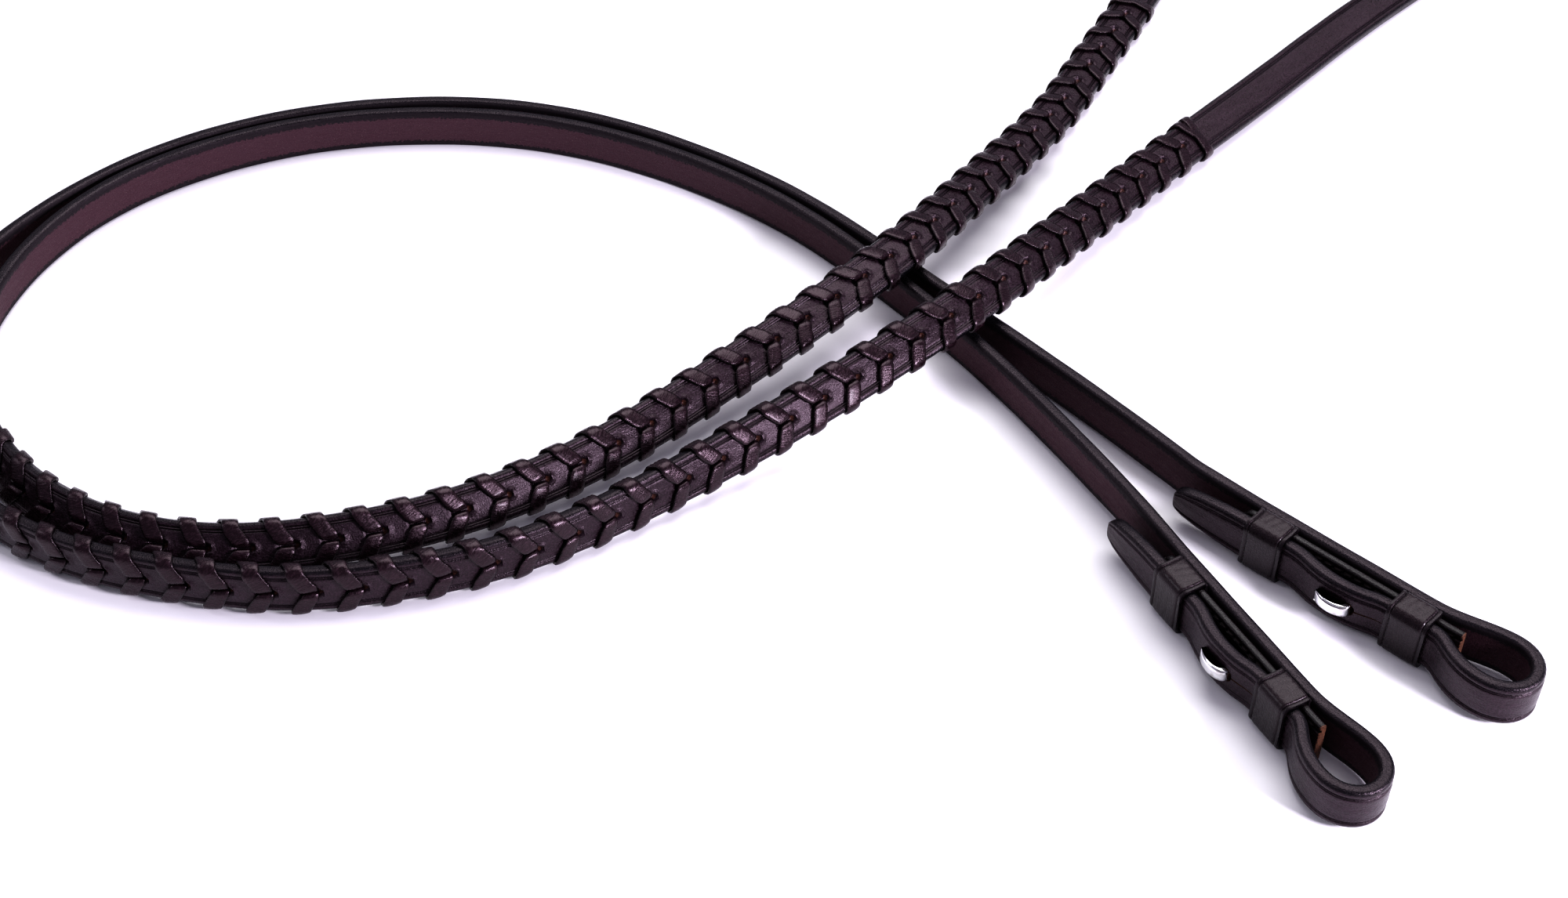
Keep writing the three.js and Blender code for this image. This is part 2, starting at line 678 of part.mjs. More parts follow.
// ---------- assembly ----------
const strapLeather = { color: 0x2b2126, roughness: 0.5, metalness: 0 };
const laceLeather = { color: 0x2f2226, roughness: 0.42, metalness: 0 };
const liningLeather = { color: 0x33262a, roughness: 0.6, metalness: 0 };
const keeperLeather = { color: 0x2a1f22, roughness: 0.45, metalness: 0 };
const stitchThread = { color: 0x1d181a, roughness: 0.7, metalness: 0 };
const nickel = { color: 0xc4c6c8, roughness: 0.22, metalness: 1 };

const reins = new THREE.Group();
reins.name = 'laced_reins';

function addPart(name, look, geometry, placing) {
  const placed = placing ? geometry.applyMatrix4(placing) : geometry;
  const mesh = new THREE.Mesh(placed, new THREE.MeshStandardMaterial(look));
  mesh.name = name;
  mesh.geometry.computeVertexNormals();
  reins.add(mesh);
}

function addBitEnd(side, bit) {
  addPart(`bit_lining_${side}`, liningLeather, liningGeometry(), bitFrame(bit));
  addPart(`hook_stud_${side}`, nickel, hookStudGeometry(), bitFrame(bit));
  addPart(`keeper_tip_${side}`, keeperLeather, keeperGeometry(), bitFrame(bit, -keeperWidth));
  addPart(`keeper_loop_${side}`, keeperLeather, keeperGeometry(), bitFrame(bit, loopKeeperStart));
  addPart(`seam_upper_${side}`, stitchThread, liningSeamGeometry(seamOffset), bitFrame(bit));
  addPart(`seam_lower_${side}`, stitchThread, liningSeamGeometry(-seamOffset), bitFrame(bit));
}

addPart('rein_strap_left', strapLeather, leftStrapGeometry());
addPart('rein_strap_right', strapLeather, rightStrapGeometry());
addPart('lace_left', laceLeather, laceGeometry(leftCurve));
addPart('lace_right', laceLeather, laceGeometry(rightCurve));
addBitEnd('left', leftBit);
addBitEnd('right', rightBit);
addPart('buckle_frame', nickel, buckleFrameGeometry(), barFrame(buckleTilt));
addPart('buckle_tongue', nickel, buckleTongueGeometry(), barFrame(buckleTilt));
addPart('buckle_keeper', keeperLeather, buckleKeeperGeometry());
addPart('chape_seam_a', stitchThread, chapeSeamGeometry(seamOffset));
addPart('chape_seam_b', stitchThread, chapeSeamGeometry(-seamOffset));

export default reins;
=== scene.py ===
"""A pair of laced leather reins, laid in a loop on a pale floor."""

import math

import bpy
import numpy as np
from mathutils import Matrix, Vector
from mathutils.kdtree import KDTree


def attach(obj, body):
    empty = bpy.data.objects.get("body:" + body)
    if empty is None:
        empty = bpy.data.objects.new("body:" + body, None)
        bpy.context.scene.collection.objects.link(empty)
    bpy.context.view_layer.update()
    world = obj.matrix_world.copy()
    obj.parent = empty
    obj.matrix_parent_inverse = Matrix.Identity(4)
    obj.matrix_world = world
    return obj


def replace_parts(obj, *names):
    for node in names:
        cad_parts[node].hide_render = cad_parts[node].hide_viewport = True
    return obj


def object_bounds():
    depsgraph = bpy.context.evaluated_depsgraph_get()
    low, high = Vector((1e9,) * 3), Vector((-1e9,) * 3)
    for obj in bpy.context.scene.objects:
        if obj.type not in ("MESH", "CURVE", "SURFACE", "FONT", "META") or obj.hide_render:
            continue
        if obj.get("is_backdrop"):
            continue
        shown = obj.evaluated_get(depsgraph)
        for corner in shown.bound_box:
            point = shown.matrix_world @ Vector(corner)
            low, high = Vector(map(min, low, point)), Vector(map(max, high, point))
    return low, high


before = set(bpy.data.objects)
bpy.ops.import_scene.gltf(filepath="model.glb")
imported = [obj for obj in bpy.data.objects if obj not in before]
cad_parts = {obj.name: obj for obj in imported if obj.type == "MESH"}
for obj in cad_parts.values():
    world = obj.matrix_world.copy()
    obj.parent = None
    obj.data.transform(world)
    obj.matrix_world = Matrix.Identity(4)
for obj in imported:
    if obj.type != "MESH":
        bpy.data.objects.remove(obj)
cad_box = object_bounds()

MM = 0.001

# ---------- sizes, in millimetres ----------
CLEARANCE = 0.3
REST_GAP = 0.05
HALF_WIDTH = 8.0
HALF_THICKNESS = 2.25
EDGE_RADIUS = 1.5
POINT_LENGTH = 28.0

LACE_PITCH = 13.8
LACE_COUNT = 43
LAST_LACE_HOLE = 1451.0
LACE_HALF_THICKNESS = 0.6
LACE_COVER = 1.5

LINING = 2.5
KEEPER_WIDTH = 14.0
KEEPER_WALL = 1.5
KEEPER_TAIL = 1.1
LOOP_KEEPER_START = 38.0
LOOP_KEEPER_END = 52.0
LINING_START = -19.0
LINING_END = 61.0
STEM_END = 27.3
STEM = 2.6
BILLET_BOW = 3.0
BIT_HEIGHT = HALF_WIDTH + CLEARANCE + KEEPER_WALL
BILLET_LEVEL = LINING + CLEARANCE + HALF_THICKNESS
MAIN_LEVEL = -(2 * CLEARANCE + KEEPER_TAIL + HALF_THICKNESS)

SKIVED = 3.0
BAR = 2.6
FOLD_RADIUS = BAR / 2 + 0.2 + CLEARANCE + SKIVED / 2
SKIVED_LEVEL = HALF_THICKNESS - SKIVED / 2
BAR_LEVEL = SKIVED_LEVEL - FOLD_RADIUS
UNDER_KEEPER = -HALF_THICKNESS - 2 * CLEARANCE - KEEPER_TAIL - SKIVED / 2
UNDER = -HALF_THICKNESS - CLEARANCE - SKIVED / 2
KEEPER_NEAR = 15.0
KEEPER_FAR = 23.0
CHAPE = 62.0
BUCKLE_SIDE = 3.2
BUCKLE_LENGTH = 23.0
SEAM_OFFSET = 5.7
STITCH_PITCH = 3.6
STITCH_RADIUS = 0.42
CREASES = (4.95, 5.75)
STUD_HALF_WIDTH = 2.25
PUNCHED_HOLES = 5
PUNCHED_RADIUS = 1.7
PUNCHED_SPACING = 22
PUNCHED_START = 6
LEFT_LENGTH = 1659.0
RIGHT_LENGTH = 1735.0
ROUTE_STEPS = 40001
PATH_POINTS = 420

BIT_LIFT = BIT_HEIGHT - HALF_WIDTH
BUCKLE_LIFT = 0.1 + FOLD_RADIUS - BAR_LEVEL + SKIVED / 2 - HALF_THICKNESS
CROSSING = 17.2

# ---------- routes: x, y, lift above resting height, roll in degrees ----------
LEFT_BIT = (105, -231.5, 0.47, -0.88)
RIGHT_BIT = (137.1, -208, 0.734, -0.679)

LEFT_PLAIN = [
    (81, -177, 0.83 * BIT_LIFT, 0), (58, -136, 0.17 * BIT_LIFT, 0), (33, -99, 0, 0), (4, -63, 0, 0),
    (-22, -35, 0, 0), (-54, -11, 0, 0), (-92, 9, 0, 0), (-132, 20, 0, 0), (-174, 21, 0, 0),
    (-214, 14, 0, 0), (-250, -3, 0, 0), (-278, -26, 0, 0), (-297, -57, 0, 2), (-305, -91, 0.5, 7),
    (-303, -123, 1.1, 15),
]
LEFT_LACED = [
    (-293, -151, 0, 25), (-278, -174, 0, 33), (-257, -192, 0, 39), (-230, -204, 0, 41),
    (-200, -208, 0, 41), (-169, -204, 0, 39), (-137, -195, 0, 38), (-105, -179, 0, 39),
    (-74, -156, 0.05 * CROSSING, 46), (-45, -130, 0.27 * CROSSING, 56),
    (-13, -105, 0.73 * CROSSING, 66), (17, -76, CROSSING, 72), (40, -40, 0.71 * CROSSING, 75),
    (61, -3, 0.26 * CROSSING, 77), (84, 32, 0.06 * CROSSING, 79), (100, 68, 0.2, 81),
    (118, 101, 0.2, 84),
]
LEFT_TAIL = [
    (132, 134, 0.6, 87), (148, 164, 0.2, 90), (164, 194, 0.3 * BUCKLE_LIFT, 90),
    (179, 223, 0.7 * BUCKLE_LIFT, 90), (194, 252, BUCKLE_LIFT, 90), (209, 281, BUCKLE_LIFT, 90),
    (224, 310, BUCKLE_LIFT, 90),
]
RIGHT_PLAIN = [
    (109, -175, 0.83 * BIT_LIFT, 0), (80, -138, 0.17 * BIT_LIFT, 0), (53, -108, 0, 0),
    (21, -72, 0, 0), (-12, -36, 0, 0), (-42, -12, 0, 0), (-84, 13, 0, 0), (-128, 27, 0, 0),
    (-172, 28, 0, 0), (-216, 20, 0, 0), (-256, 1, 0, 0), (-287, -26, 0, 0), (-311, -61, 0.5, 0),
]
RIGHT_LACED = [
    (-323, -99, 0, 0), (-322, -137, 0, 0), (-303, -170, 0, 0), (-276, -197, 0, 0),
    (-245, -213, 0, 2), (-212, -221, 0, 6), (-179, -226, 0, 7), (-147, -221, 0, 6),
    (-115, -213, 0, 6), (-86, -197, 0, 9), (-59, -178, 0.04 * CROSSING, 19),
    (-32, -159, 0.18 * CROSSING, 32), (-5, -140, 0.48 * CROSSING, 43),
    (22, -121, 0.84 * CROSSING, 52), (47, -98, 0.97 * CROSSING, 58), (69, -69, 0.68 * CROSSING, 62),
    (91, -38, 0.27 * CROSSING, 64), (115, -8, 0.06 * CROSSING, 66), (142, 21, 0.2, 66),
]
RIGHT_TAIL = [
    (169, 51, 0.8, 67), (195, 81, 0.3, 71), (222, 110, 0.1, 77), (249, 136, 0.1, 84),
    (273, 163, 0.1, 90), (297, 190, 0.1, 90), (321, 217, 0.1, 90),
]


def raised(points, cover):
    rows = []
    for x, y, lift, roll in points:
        a = math.radians(roll)
        rest = (HALF_WIDTH + cover) * math.cos(a) + (HALF_THICKNESS + cover) * math.sin(a)
        rows.append((x, y, REST_GAP + rest + lift, roll))
    return rows


def bit_end_outline():
    """The billet, bit loop and strap of a bit end: along towards the loop, and off the lining."""
    b, m, k = BILLET_LEVEL, MAIN_LEVEL, KEEPER_WIDTH
    start, end, stem = LOOP_KEEPER_START, LOOP_KEEPER_END, STEM_END - STEM
    return [
        (-k - 28, b), (-k - 14, b), (-k, b), (-5, b), (1, b),
        (6, b), (12, b + 0.7 * BILLET_BOW), (stem - 5, b + BILLET_BOW),
        (start - 9, b + 0.7 * BILLET_BOW), (start - 4, b), (start + 2, b), (end - 6, b),
        (end - 1, b), (end + 3.5, b), (end + 8, b + 3.2),
        (end + 14.5, 11.6), (end + 24.5, 12.5), (end + 31.5, 8.6), (end + 34.2, 1.6),
        (end + 31.3, -5.4), (end + 24.5, -8.9), (end + 16, -7.9), (end + 8, -5.7),
        (end, m), (end - 7, m), (start, m), (start - 11, m), (start - 24, m), (start - 36, m),
        (-7, m), (-k - 2, m), (-k - 14, m - 0.3), (-k - 28, m - 0.6),
    ]


def bit_axes(bit):
    x, y, ax, ay = bit
    n = math.hypot(ax, ay)
    return x, y, ax / n, ay / n


class Route:
    """A uniform cubic B-spline through space that also carries the strap's roll."""

    def __init__(self, points):
        p = np.array(points, float)
        self.p = np.vstack([2 * p[0] - p[1], p, 2 * p[-1] - p[-2]])
        self.t = np.linspace(0, 1, ROUTE_STEPS)
        steps = np.diff(self.rows(self.t)[:, :3], axis=0)
        self.s = np.concatenate([[0], np.cumsum(np.linalg.norm(steps, axis=1))])

    def rows(self, t, slope=False):
        spans = len(self.p) - 3
        i = np.minimum((t * spans).astype(int), spans - 1)
        f = (t * spans - i)[:, None]
        if slope:
            w = [-((1 - f) ** 2) / 2, (3 * f**2 - 4 * f) / 2, (-3 * f**2 + 2 * f + 1) / 2, f**2 / 2]
        else:
            w = [
                (1 - f) ** 3 / 6,
                (3 * f**3 - 6 * f**2 + 4) / 6,
                (-3 * f**3 + 3 * f**2 + 3 * f + 1) / 6,
                f**3 / 6,
            ]
        return sum(w[k] * self.p[i + k] for k in range(4))

    def section(self, s):
        s = np.asarray(s, float)
        inside = np.clip(s, 0, self.s[-1])
        t = np.interp(inside, self.s, self.t)
        row = self.rows(t)
        along = self.rows(t, True)[:, :3]
        along /= np.linalg.norm(along, axis=1)[:, None]
        right = np.stack([along[:, 1], -along[:, 0], np.zeros(len(s))], axis=1)
        right /= np.linalg.norm(right, axis=1)[:, None]
        up = np.cross(right, along)
        c = np.cos(np.radians(row[:, 3]))[:, None]
        d = np.sin(np.radians(row[:, 3]))[:, None]
        origin = row[:, :3] + along * (s - inside)[:, None]
        return origin, along, up * c - right * d, right * c + up * d

    def place(self, s, u, v):
        """Points in space, in metres, of points drawn on the flat strap in millimetres."""
        shape = np.shape(s)
        origin, _, across, outward = self.section(np.ravel(s))
        points = origin + across * np.ravel(u)[:, None] + outward * np.ravel(v)[:, None]
        return (points * MM).reshape(*shape, 3)


def route_of(bit, plain, laced, tail):
    x, y, ax, ay = bit_axes(bit)
    outline_points = bit_end_outline()
    start = [(x + e * ax + n * ay, y + e * ay - n * ax, BIT_HEIGHT, 0) for e, n in outline_points]
    return Route(start + raised(plain, 0) + raised(laced, LACE_COVER) + raised(tail, 0))


LEFT = route_of(LEFT_BIT, LEFT_PLAIN, LEFT_LACED, LEFT_TAIL)
RIGHT = route_of(RIGHT_BIT, RIGHT_PLAIN, RIGHT_LACED, RIGHT_TAIL)
HOLES = LAST_LACE_HOLE - LACE_PITCH * np.arange(LACE_COUNT - 1, -1, -1)


# ---------- camera, light and floor ----------
def make_camera():
    camera = bpy.data.objects.new("camera", bpy.data.cameras.new("camera"))
    bpy.context.scene.collection.objects.link(camera)
    camera.data.lens = 54
    camera.data.sensor_width = 36
    camera.data.clip_start = 0.01
    camera.data.clip_end = 20
    camera.location = (-0.024, -0.721, 0.55)
    camera.rotation_euler = (math.radians(46), 0, 0)
    bpy.context.scene.camera = camera


def area_light(name, place, target, size, power, colour):
    light = bpy.data.lights.new(name, "AREA")
    light.shape = "RECTANGLE"
    light.size, light.size_y = size
    light.energy = power
    light.color = colour
    o = bpy.data.objects.new(name, light)
    bpy.context.scene.collection.objects.link(o)
    o.location = place
    o.rotation_euler = (Vector(target) - Vector(place)).to_track_quat("-Z", "Y").to_euler()


def make_stage():
    mesh = bpy.data.meshes.new("floor")
    r = 6.0
    z = -0.00005
    mesh.from_pydata([(-r, -r, z), (r, -r, z), (r, r, z), (-r, r, z)], [], [(0, 1, 2, 3)])
    floor = bpy.data.objects.new("floor", mesh)
    bpy.context.scene.collection.objects.link(floor)
    material = bpy.data.materials.new("floor")
    material.use_nodes = True
    shader = material.node_tree.nodes["Principled BSDF"]
    shader.inputs["Base Color"].default_value = (0.93, 0.92, 0.94, 1)
    shader.inputs["Roughness"].default_value = 0.9
    shader.inputs["Specular IOR Level"].default_value = 0.1
    mesh.materials.append(material)
    floor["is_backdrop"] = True
    world = bpy.data.worlds.new("world")
    world.use_nodes = True
    background = world.node_tree.nodes["Background"]
    background.inputs[0].default_value = (0.88, 0.84, 1.0, 1)
    background.inputs[1].default_value = 0.36
    bpy.context.scene.world = world
    bpy.context.scene.view_settings.view_transform = "Standard"
    bpy.context.scene.view_settings.look = "High Contrast"
    area_light("overhead", (0.25, 0.55, 1.4), (0, 0, 0), (1.5, 1.1), 19, (1, 0.99, 1))
    area_light("front", (0.93, -0.78, 0.52), (0.02, -0.16, 0), (0.26, 0.17), 18, (0.93, 0.87, 1))
    area_light("left", (-1.1, -0.1, 0.9), (0, 0, 0), (0.4, 0.4), 2, (0.95, 0.94, 1))


make_camera()
make_stage()


# ---------- meshes ----------
def new_piece(name, points, faces, strap, material, body="reins", sharp=50):
    """A mesh whose point attribute "strap" holds where each point is on the flat pattern."""
    points = np.asarray(points, float)
    middle = points.mean(axis=0)
    fans = np.array([(f[0], f[k], f[k + 1]) for f in faces for k in range(1, len(f) - 1)])
    a, b, c = (points[fans[:, k]] - middle for k in range(3))
    if np.einsum("ij,ij->i", a, np.cross(b, c)).sum() < 0:
        faces = [f[::-1] for f in faces]
    mesh = bpy.data.meshes.new(name)
    mesh.from_pydata([tuple(p) for p in points], [], faces)
    attribute = mesh.attributes.new("strap", "FLOAT_VECTOR", "POINT")
    attribute.data.foreach_set("vector", np.asarray(strap, np.float32).ravel())
    mesh.shade_smooth()
    mesh.set_sharp_from_angle(angle=math.radians(sharp))
    for m in material if isinstance(material, list) else [material]:
        mesh.materials.append(m)
    o = bpy.data.objects.new(name, mesh)
    bpy.context.scene.collection.objects.link(o)
    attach(o, body)
    return o


def ring_faces(rows, columns, closed=False):
    faces = []
    last = rows if closed else rows - 1
    for i in range(last):
        j = (i + 1) % rows
        for k in range(columns):
            n = (k + 1) % columns
            faces.append((i * columns + k, i * columns + n, j * columns + n, j * columns + k))
    if not closed:
        faces.append(tuple(range(columns - 1, -1, -1)))
        faces.append(tuple((rows - 1) * columns + k for k in range(columns)))
    return faces


def outline(q, d):
    """Round the strap's section: q from the middle of the grain side, d standing off the skin."""
    flat = HALF_WIDTH - EDGE_RADIUS
    side = HALF_THICKNESS - EDGE_RADIUS
    arc = EDGE_RADIUS * math.pi / 2
    half = 2 * flat + 2 * arc + 2 * side
    q = (np.asarray(q, float) + half) % (2 * half) - half
    sign = np.where(q < 0, -1.0, 1.0)
    a = np.abs(q)
    r = EDGE_RADIUS + d
    t1 = np.clip((a - flat) / EDGE_RADIUS, 0, math.pi / 2)
    t2 = np.clip((a - flat - arc - 2 * side) / EDGE_RADIUS, 0, math.pi / 2)
    first = a < flat + arc + side
    turn = np.where(first, t1, math.pi / 2 + t2)
    along_side = np.clip(a - flat - arc, 0, 2 * side)
    u = np.where(a < flat, a, flat) + r * np.sin(turn)
    v = side + r * np.cos(turn) - along_side
    back = a > half - flat
    u = np.where(back, half - a, u)
    return sign * u, v


HALF_GIRTH = 2 * (HALF_WIDTH - EDGE_RADIUS) + math.pi * EDGE_RADIUS
HALF_GIRTH += 2 * (HALF_THICKNESS - EDGE_RADIUS)


def catmull(rows, steps):
    """A smooth pass through rows of numbers, with steps points for each interval."""
    p = np.asarray(rows, float)
    p = np.vstack([2 * p[0] - p[1], p, 2 * p[-1] - p[-2]])
    t = (np.arange(steps) / steps)[None, :, None]
    a, b, c, d = p[:-3, None], p[1:-2, None], p[2:-1, None], p[3:, None]
    square, cube = 2 * a - 5 * b + 4 * c - d, 3 * b - a - 3 * c + d
    q = 0.5 * (2 * b + (c - a) * t + square * t**2 + cube * t**3)
    return np.vstack([q.reshape(-1, p.shape[1]), p[-2]])


def cut(piece, cutters, material):
    """Cuts the cutters' closed shapes out of a piece; the cut faces take the cutters' material."""
    old = [v.co.copy() for v in piece.data.vertices]
    values = np.zeros(len(old) * 3, np.float32)
    piece.data.attributes["strap"].data.foreach_get("vector", values)
    points, faces = [], []
    for p, f in cutters:
        base = len(points)
        points += [tuple(x) for x in p]
        faces += [tuple(base + i for i in face) for face in f]
    mesh = bpy.data.meshes.new("cutter")
    mesh.from_pydata(points, [], faces)
    mesh.materials.append(material)
    tool = bpy.data.objects.new("cutter", mesh)
    bpy.context.scene.collection.objects.link(tool)
    modifier = piece.modifiers.new("cut", "BOOLEAN")
    modifier.operation = "DIFFERENCE"
    modifier.solver = "EXACT"
    modifier.object = tool
    modifier.material_mode = "TRANSFER"
    graph = bpy.context.evaluated_depsgraph_get()
    result = bpy.data.meshes.new_from_object(piece.evaluated_get(graph))
    piece.modifiers.clear()
    bpy.data.objects.remove(tool)
    tree = KDTree(len(old))
    for i, co in enumerate(old):
        tree.insert(co, i)
    tree.balance()
    values = values.reshape(-1, 3)
    nearest = [values[tree.find(v.co)[1]] for v in result.vertices]
    if "strap" in result.attributes:
        result.attributes.remove(result.attributes["strap"])
    attribute = result.attributes.new("strap", "FLOAT_VECTOR", "POINT")
    attribute.data.foreach_set("vector", np.array(nearest, np.float32).ravel())
    piece.data = result


# ---------- materials ----------
class Nodes:
    """A short way to write a material's nodes."""

    def __init__(self, name):
        self.material = bpy.data.materials.new(name)
        self.material.use_nodes = True
        self.tree = self.material.node_tree
        self.shader = self.tree.nodes["Principled BSDF"]

    def add(self, kind, inputs=None, **settings):
        node = self.tree.nodes.new(kind)
        for key, value in settings.items():
            setattr(node, key, value)
        for key, value in (inputs or {}).items():
            if isinstance(value, bpy.types.NodeSocket):
                self.tree.links.new(value, node.inputs[key])
            else:
                node.inputs[key].default_value = value
        return node

    def pattern(self):
        return self.add("ShaderNodeAttribute", attribute_name="strap").outputs["Vector"]

    def scaled(self, vector, scale):
        return self.add("ShaderNodeMapping", {"Vector": vector, "Scale": scale}).outputs[0]

    def noise(self, vector, scale, detail=3.0, rough=0.55):
        inputs = {"Vector": vector, "Scale": scale, "Detail": detail, "Roughness": rough}
        return self.add("ShaderNodeTexNoise", inputs).outputs["Fac"]

    def cells(self, vector, scale):
        inputs = {"Vector": vector, "Scale": scale}
        return self.add("ShaderNodeTexVoronoi", inputs).outputs["Distance"]

    def span(self, value, low, high, out_low=0.0, out_high=1.0):
        inputs = {0: value, 1: low, 2: high, 3: out_low, 4: out_high}
        return self.add("ShaderNodeMapRange", inputs, interpolation_type="SMOOTHSTEP").outputs[0]

    def math(self, operation, a, b=0.0):
        return self.add("ShaderNodeMath", {0: a, 1: b}, operation=operation).outputs[0]

    def mix(self, factor, a, b):
        return self.add("ShaderNodeMix", {0: factor, 6: a, 7: b}, data_type="RGBA").outputs[2]

    def bump(self, height, distance, strength=1.0, normal=None):
        inputs = {"Height": height, "Distance": distance, "Strength": strength}
        if normal:
            inputs["Normal"] = normal
        return self.add("ShaderNodeBump", inputs).outputs[0]

    def shade(self, **inputs):
        for key, value in inputs.items():
            socket = self.shader.inputs[key.replace("_", " ")]
            if isinstance(value, bpy.types.NodeSocket):
                self.tree.links.new(value, socket)
            else:
                socket.default_value = value
        return self.material


def colour(code):
    """A hex colour as linear light."""
    parts = [int(code[i : i + 2], 16) / 255 for i in (0, 2, 4)]
    linear = [c / 12.92 if c <= 0.04045 else ((c + 0.055) / 1.055) ** 2.4 for c in parts]
    return (*linear, 1.0)


def grain_nodes(m, p, deep, light, bloom):
    """Finished grain: fine pebbles, rubbed streaks across the strap and a cloudy wax bloom."""
    pebbles = m.cells(p, 1.7)
    fine = m.noise(p, 1.9, 5, 0.7)
    streaks = m.noise(m.scaled(p, (2.6, 0.45, 1.0)), 1.2, 4, 0.65)
    scuffs = m.noise(m.scaled(p, (0.12, 1.3, 1.3)), 1.6, 5, 0.6)
    cloud = m.noise(m.scaled(p, (0.07, 0.16, 0.16)), 1.0, 3, 0.5)
    tone = m.mix(m.span(fine, 0.45, 0.7), deep, light)
    worn = m.math("MULTIPLY", m.span(streaks, 0.45, 0.65), m.span(cloud, 0.4, 0.65))
    tone = m.mix(m.math("MULTIPLY", worn, bloom), tone, light)
    rough = m.math("ADD", m.span(fine, 0.3, 0.7, 0.24, 0.42), m.span(scuffs, 0.4, 0.7, -0.04, 0.08))
    normal = m.bump(pebbles, 0.00016, 0.4)
    normal = m.bump(fine, 0.0002, 0.4, normal)
    normal = m.bump(m.math("ADD", streaks, scuffs), 0.0002, 0.4, normal)
    return tone, rough, normal


def strap_leather():
    m = Nodes("strap_leather")
    p = m.pattern()
    xyz = m.add("ShaderNodeSeparateXYZ", {0: p})
    u = m.math("ABSOLUTE", xyz.outputs[1])
    v = xyz.outputs[2]
    tone, rough, normal = grain_nodes(m, p, colour("140a0f"), colour("33252e"), 0.55)
    wobble = m.noise(p, 0.45, 3, 0.6)
    reach = m.math("ADD", u, m.span(wobble, 0.3, 0.7, -0.35, 0.35))
    edge = m.span(reach, 6.5, 7.3)
    # Painted shade: the grain is darkened to near black along both crease grooves, where shade
    # falls.
    crease_shade_a, crease_shade_b = (
        m.span(m.math("ABSOLUTE", m.math("SUBTRACT", u, line)), 0.14, 0.34, 0.9, 0.0)
        for line in CREASES
    )
    tone = m.mix(m.math("MAXIMUM", crease_shade_a, crease_shade_b), tone, colour("0b0809"))
    tone = m.mix(edge, tone, colour("07080b"))
    phase = m.add(
        "ShaderNodeMath",
        {
            0: m.math("SUBTRACT", xyz.outputs[0], float(HOLES[0])),
            1: LACE_PITCH / 2,
            2: -LACE_PITCH / 2,
        },
        operation="WRAP",
    ).outputs[0]
    beyond = m.span(m.math("ABSOLUTE", m.math("SUBTRACT", phase, 0.7)), 1.0, 0.7)
    eye = m.math("MULTIPLY", m.math("MULTIPLY", beyond, m.span(u, 1.3, 1.0)), m.span(v, 2.0, 1.6))
    tone = m.mix(m.math("MULTIPLY", eye, m.span(v, 0, 0.3)), tone, colour("50352c"))
    fuzz = m.noise(p, 4.5, 5, 0.7)
    specks = m.span(m.cells(p, 1.5), 0.1, 0.22, 1.0, 0.0)
    flesh = m.mix(m.span(fuzz, 0.35, 0.7), colour("2c1a20"), colour("4a2f37"))
    flesh = m.mix(m.math("MULTIPLY", specks, m.span(fuzz, 0.5, 0.6)), flesh, colour("7a6461"))
    border = m.math("ADD", u, m.span(m.noise(p, 0.9, 4, 0.7), 0.3, 0.7, -0.7, 0.7))
    flesh = m.mix(m.span(border, 5.0, 5.5), flesh, colour("0d0b0e"))
    back = m.span(v, -1.7, -2.05)
    tone = m.mix(back, tone, flesh)
    rough = m.math("ADD", rough, m.math("MULTIPLY", back, 0.36))
    wax = m.noise(p, 0.8, 4, 0.6)
    side = m.math("MULTIPLY", edge, m.math("SUBTRACT", 1.0, back))
    rough = m.math("SUBTRACT", rough, m.math("MULTIPLY", side, m.span(wax, 0.4, 0.62, 0.0, 0.08)))
    normal = m.bump(wax, 0.00012, 0.25, normal)
    return m.shade(
        Base_Color=tone, Roughness=rough, Normal=normal,
        Specular_IOR_Level=0.4, Specular_Tint=(0.95, 0.76, 0.86, 1),
        Sheen_Weight=0.01, Sheen_Tint=colour("d8c4e6"), Sheen_Roughness=0.4,
    )


def lace_leather():
    m = Nodes("lace_leather")
    p = m.pattern()
    xyz = m.add("ShaderNodeSeparateXYZ", {0: p})
    w = m.math("ABSOLUTE", xyz.outputs[1])
    tone, rough, normal = grain_nodes(m, p, colour("150a0f"), colour("2c1d24"), 0.4)
    wobble = m.span(m.noise(p, 0.8, 3, 0.6), 0.3, 0.7, -0.12, 0.12)
    rim = m.span(m.math("ADD", w, wobble), 0.8, 0.93)
    tone = m.mix(rim, tone, colour("0a0708"))
    under = m.span(xyz.outputs[2], -0.2, -0.45)
    tone = m.mix(under, tone, colour("3a2620"))
    rough = m.math("SUBTRACT", rough, 0.08)
    return m.shade(
        Base_Color=tone, Roughness=rough, Normal=normal,
        Specular_IOR_Level=0.35, Specular_Tint=(0.95, 0.72, 0.82, 1),
        Coat_Weight=0.1, Coat_Roughness=0.2,
    )


def keeper_leather():
    m = Nodes("keeper_leather")
    p = m.pattern()
    tone, rough, normal = grain_nodes(m, p, colour("0b0507"), colour("1b1115"), 0.35)
    xyz = m.add("ShaderNodeSeparateXYZ", {0: p})
    rim = m.span(m.math("ABSOLUTE", xyz.outputs[1]), 5.4, 6.6)
    tone = m.mix(m.math("MULTIPLY", rim, 0.6), tone, colour("08070a"))
    return m.shade(
        Base_Color=tone, Roughness=rough, Normal=normal,
        Specular_IOR_Level=0.3, Specular_Tint=(0.95, 0.76, 0.86, 1),
        Coat_Weight=0.2, Coat_Roughness=0.16,
    )


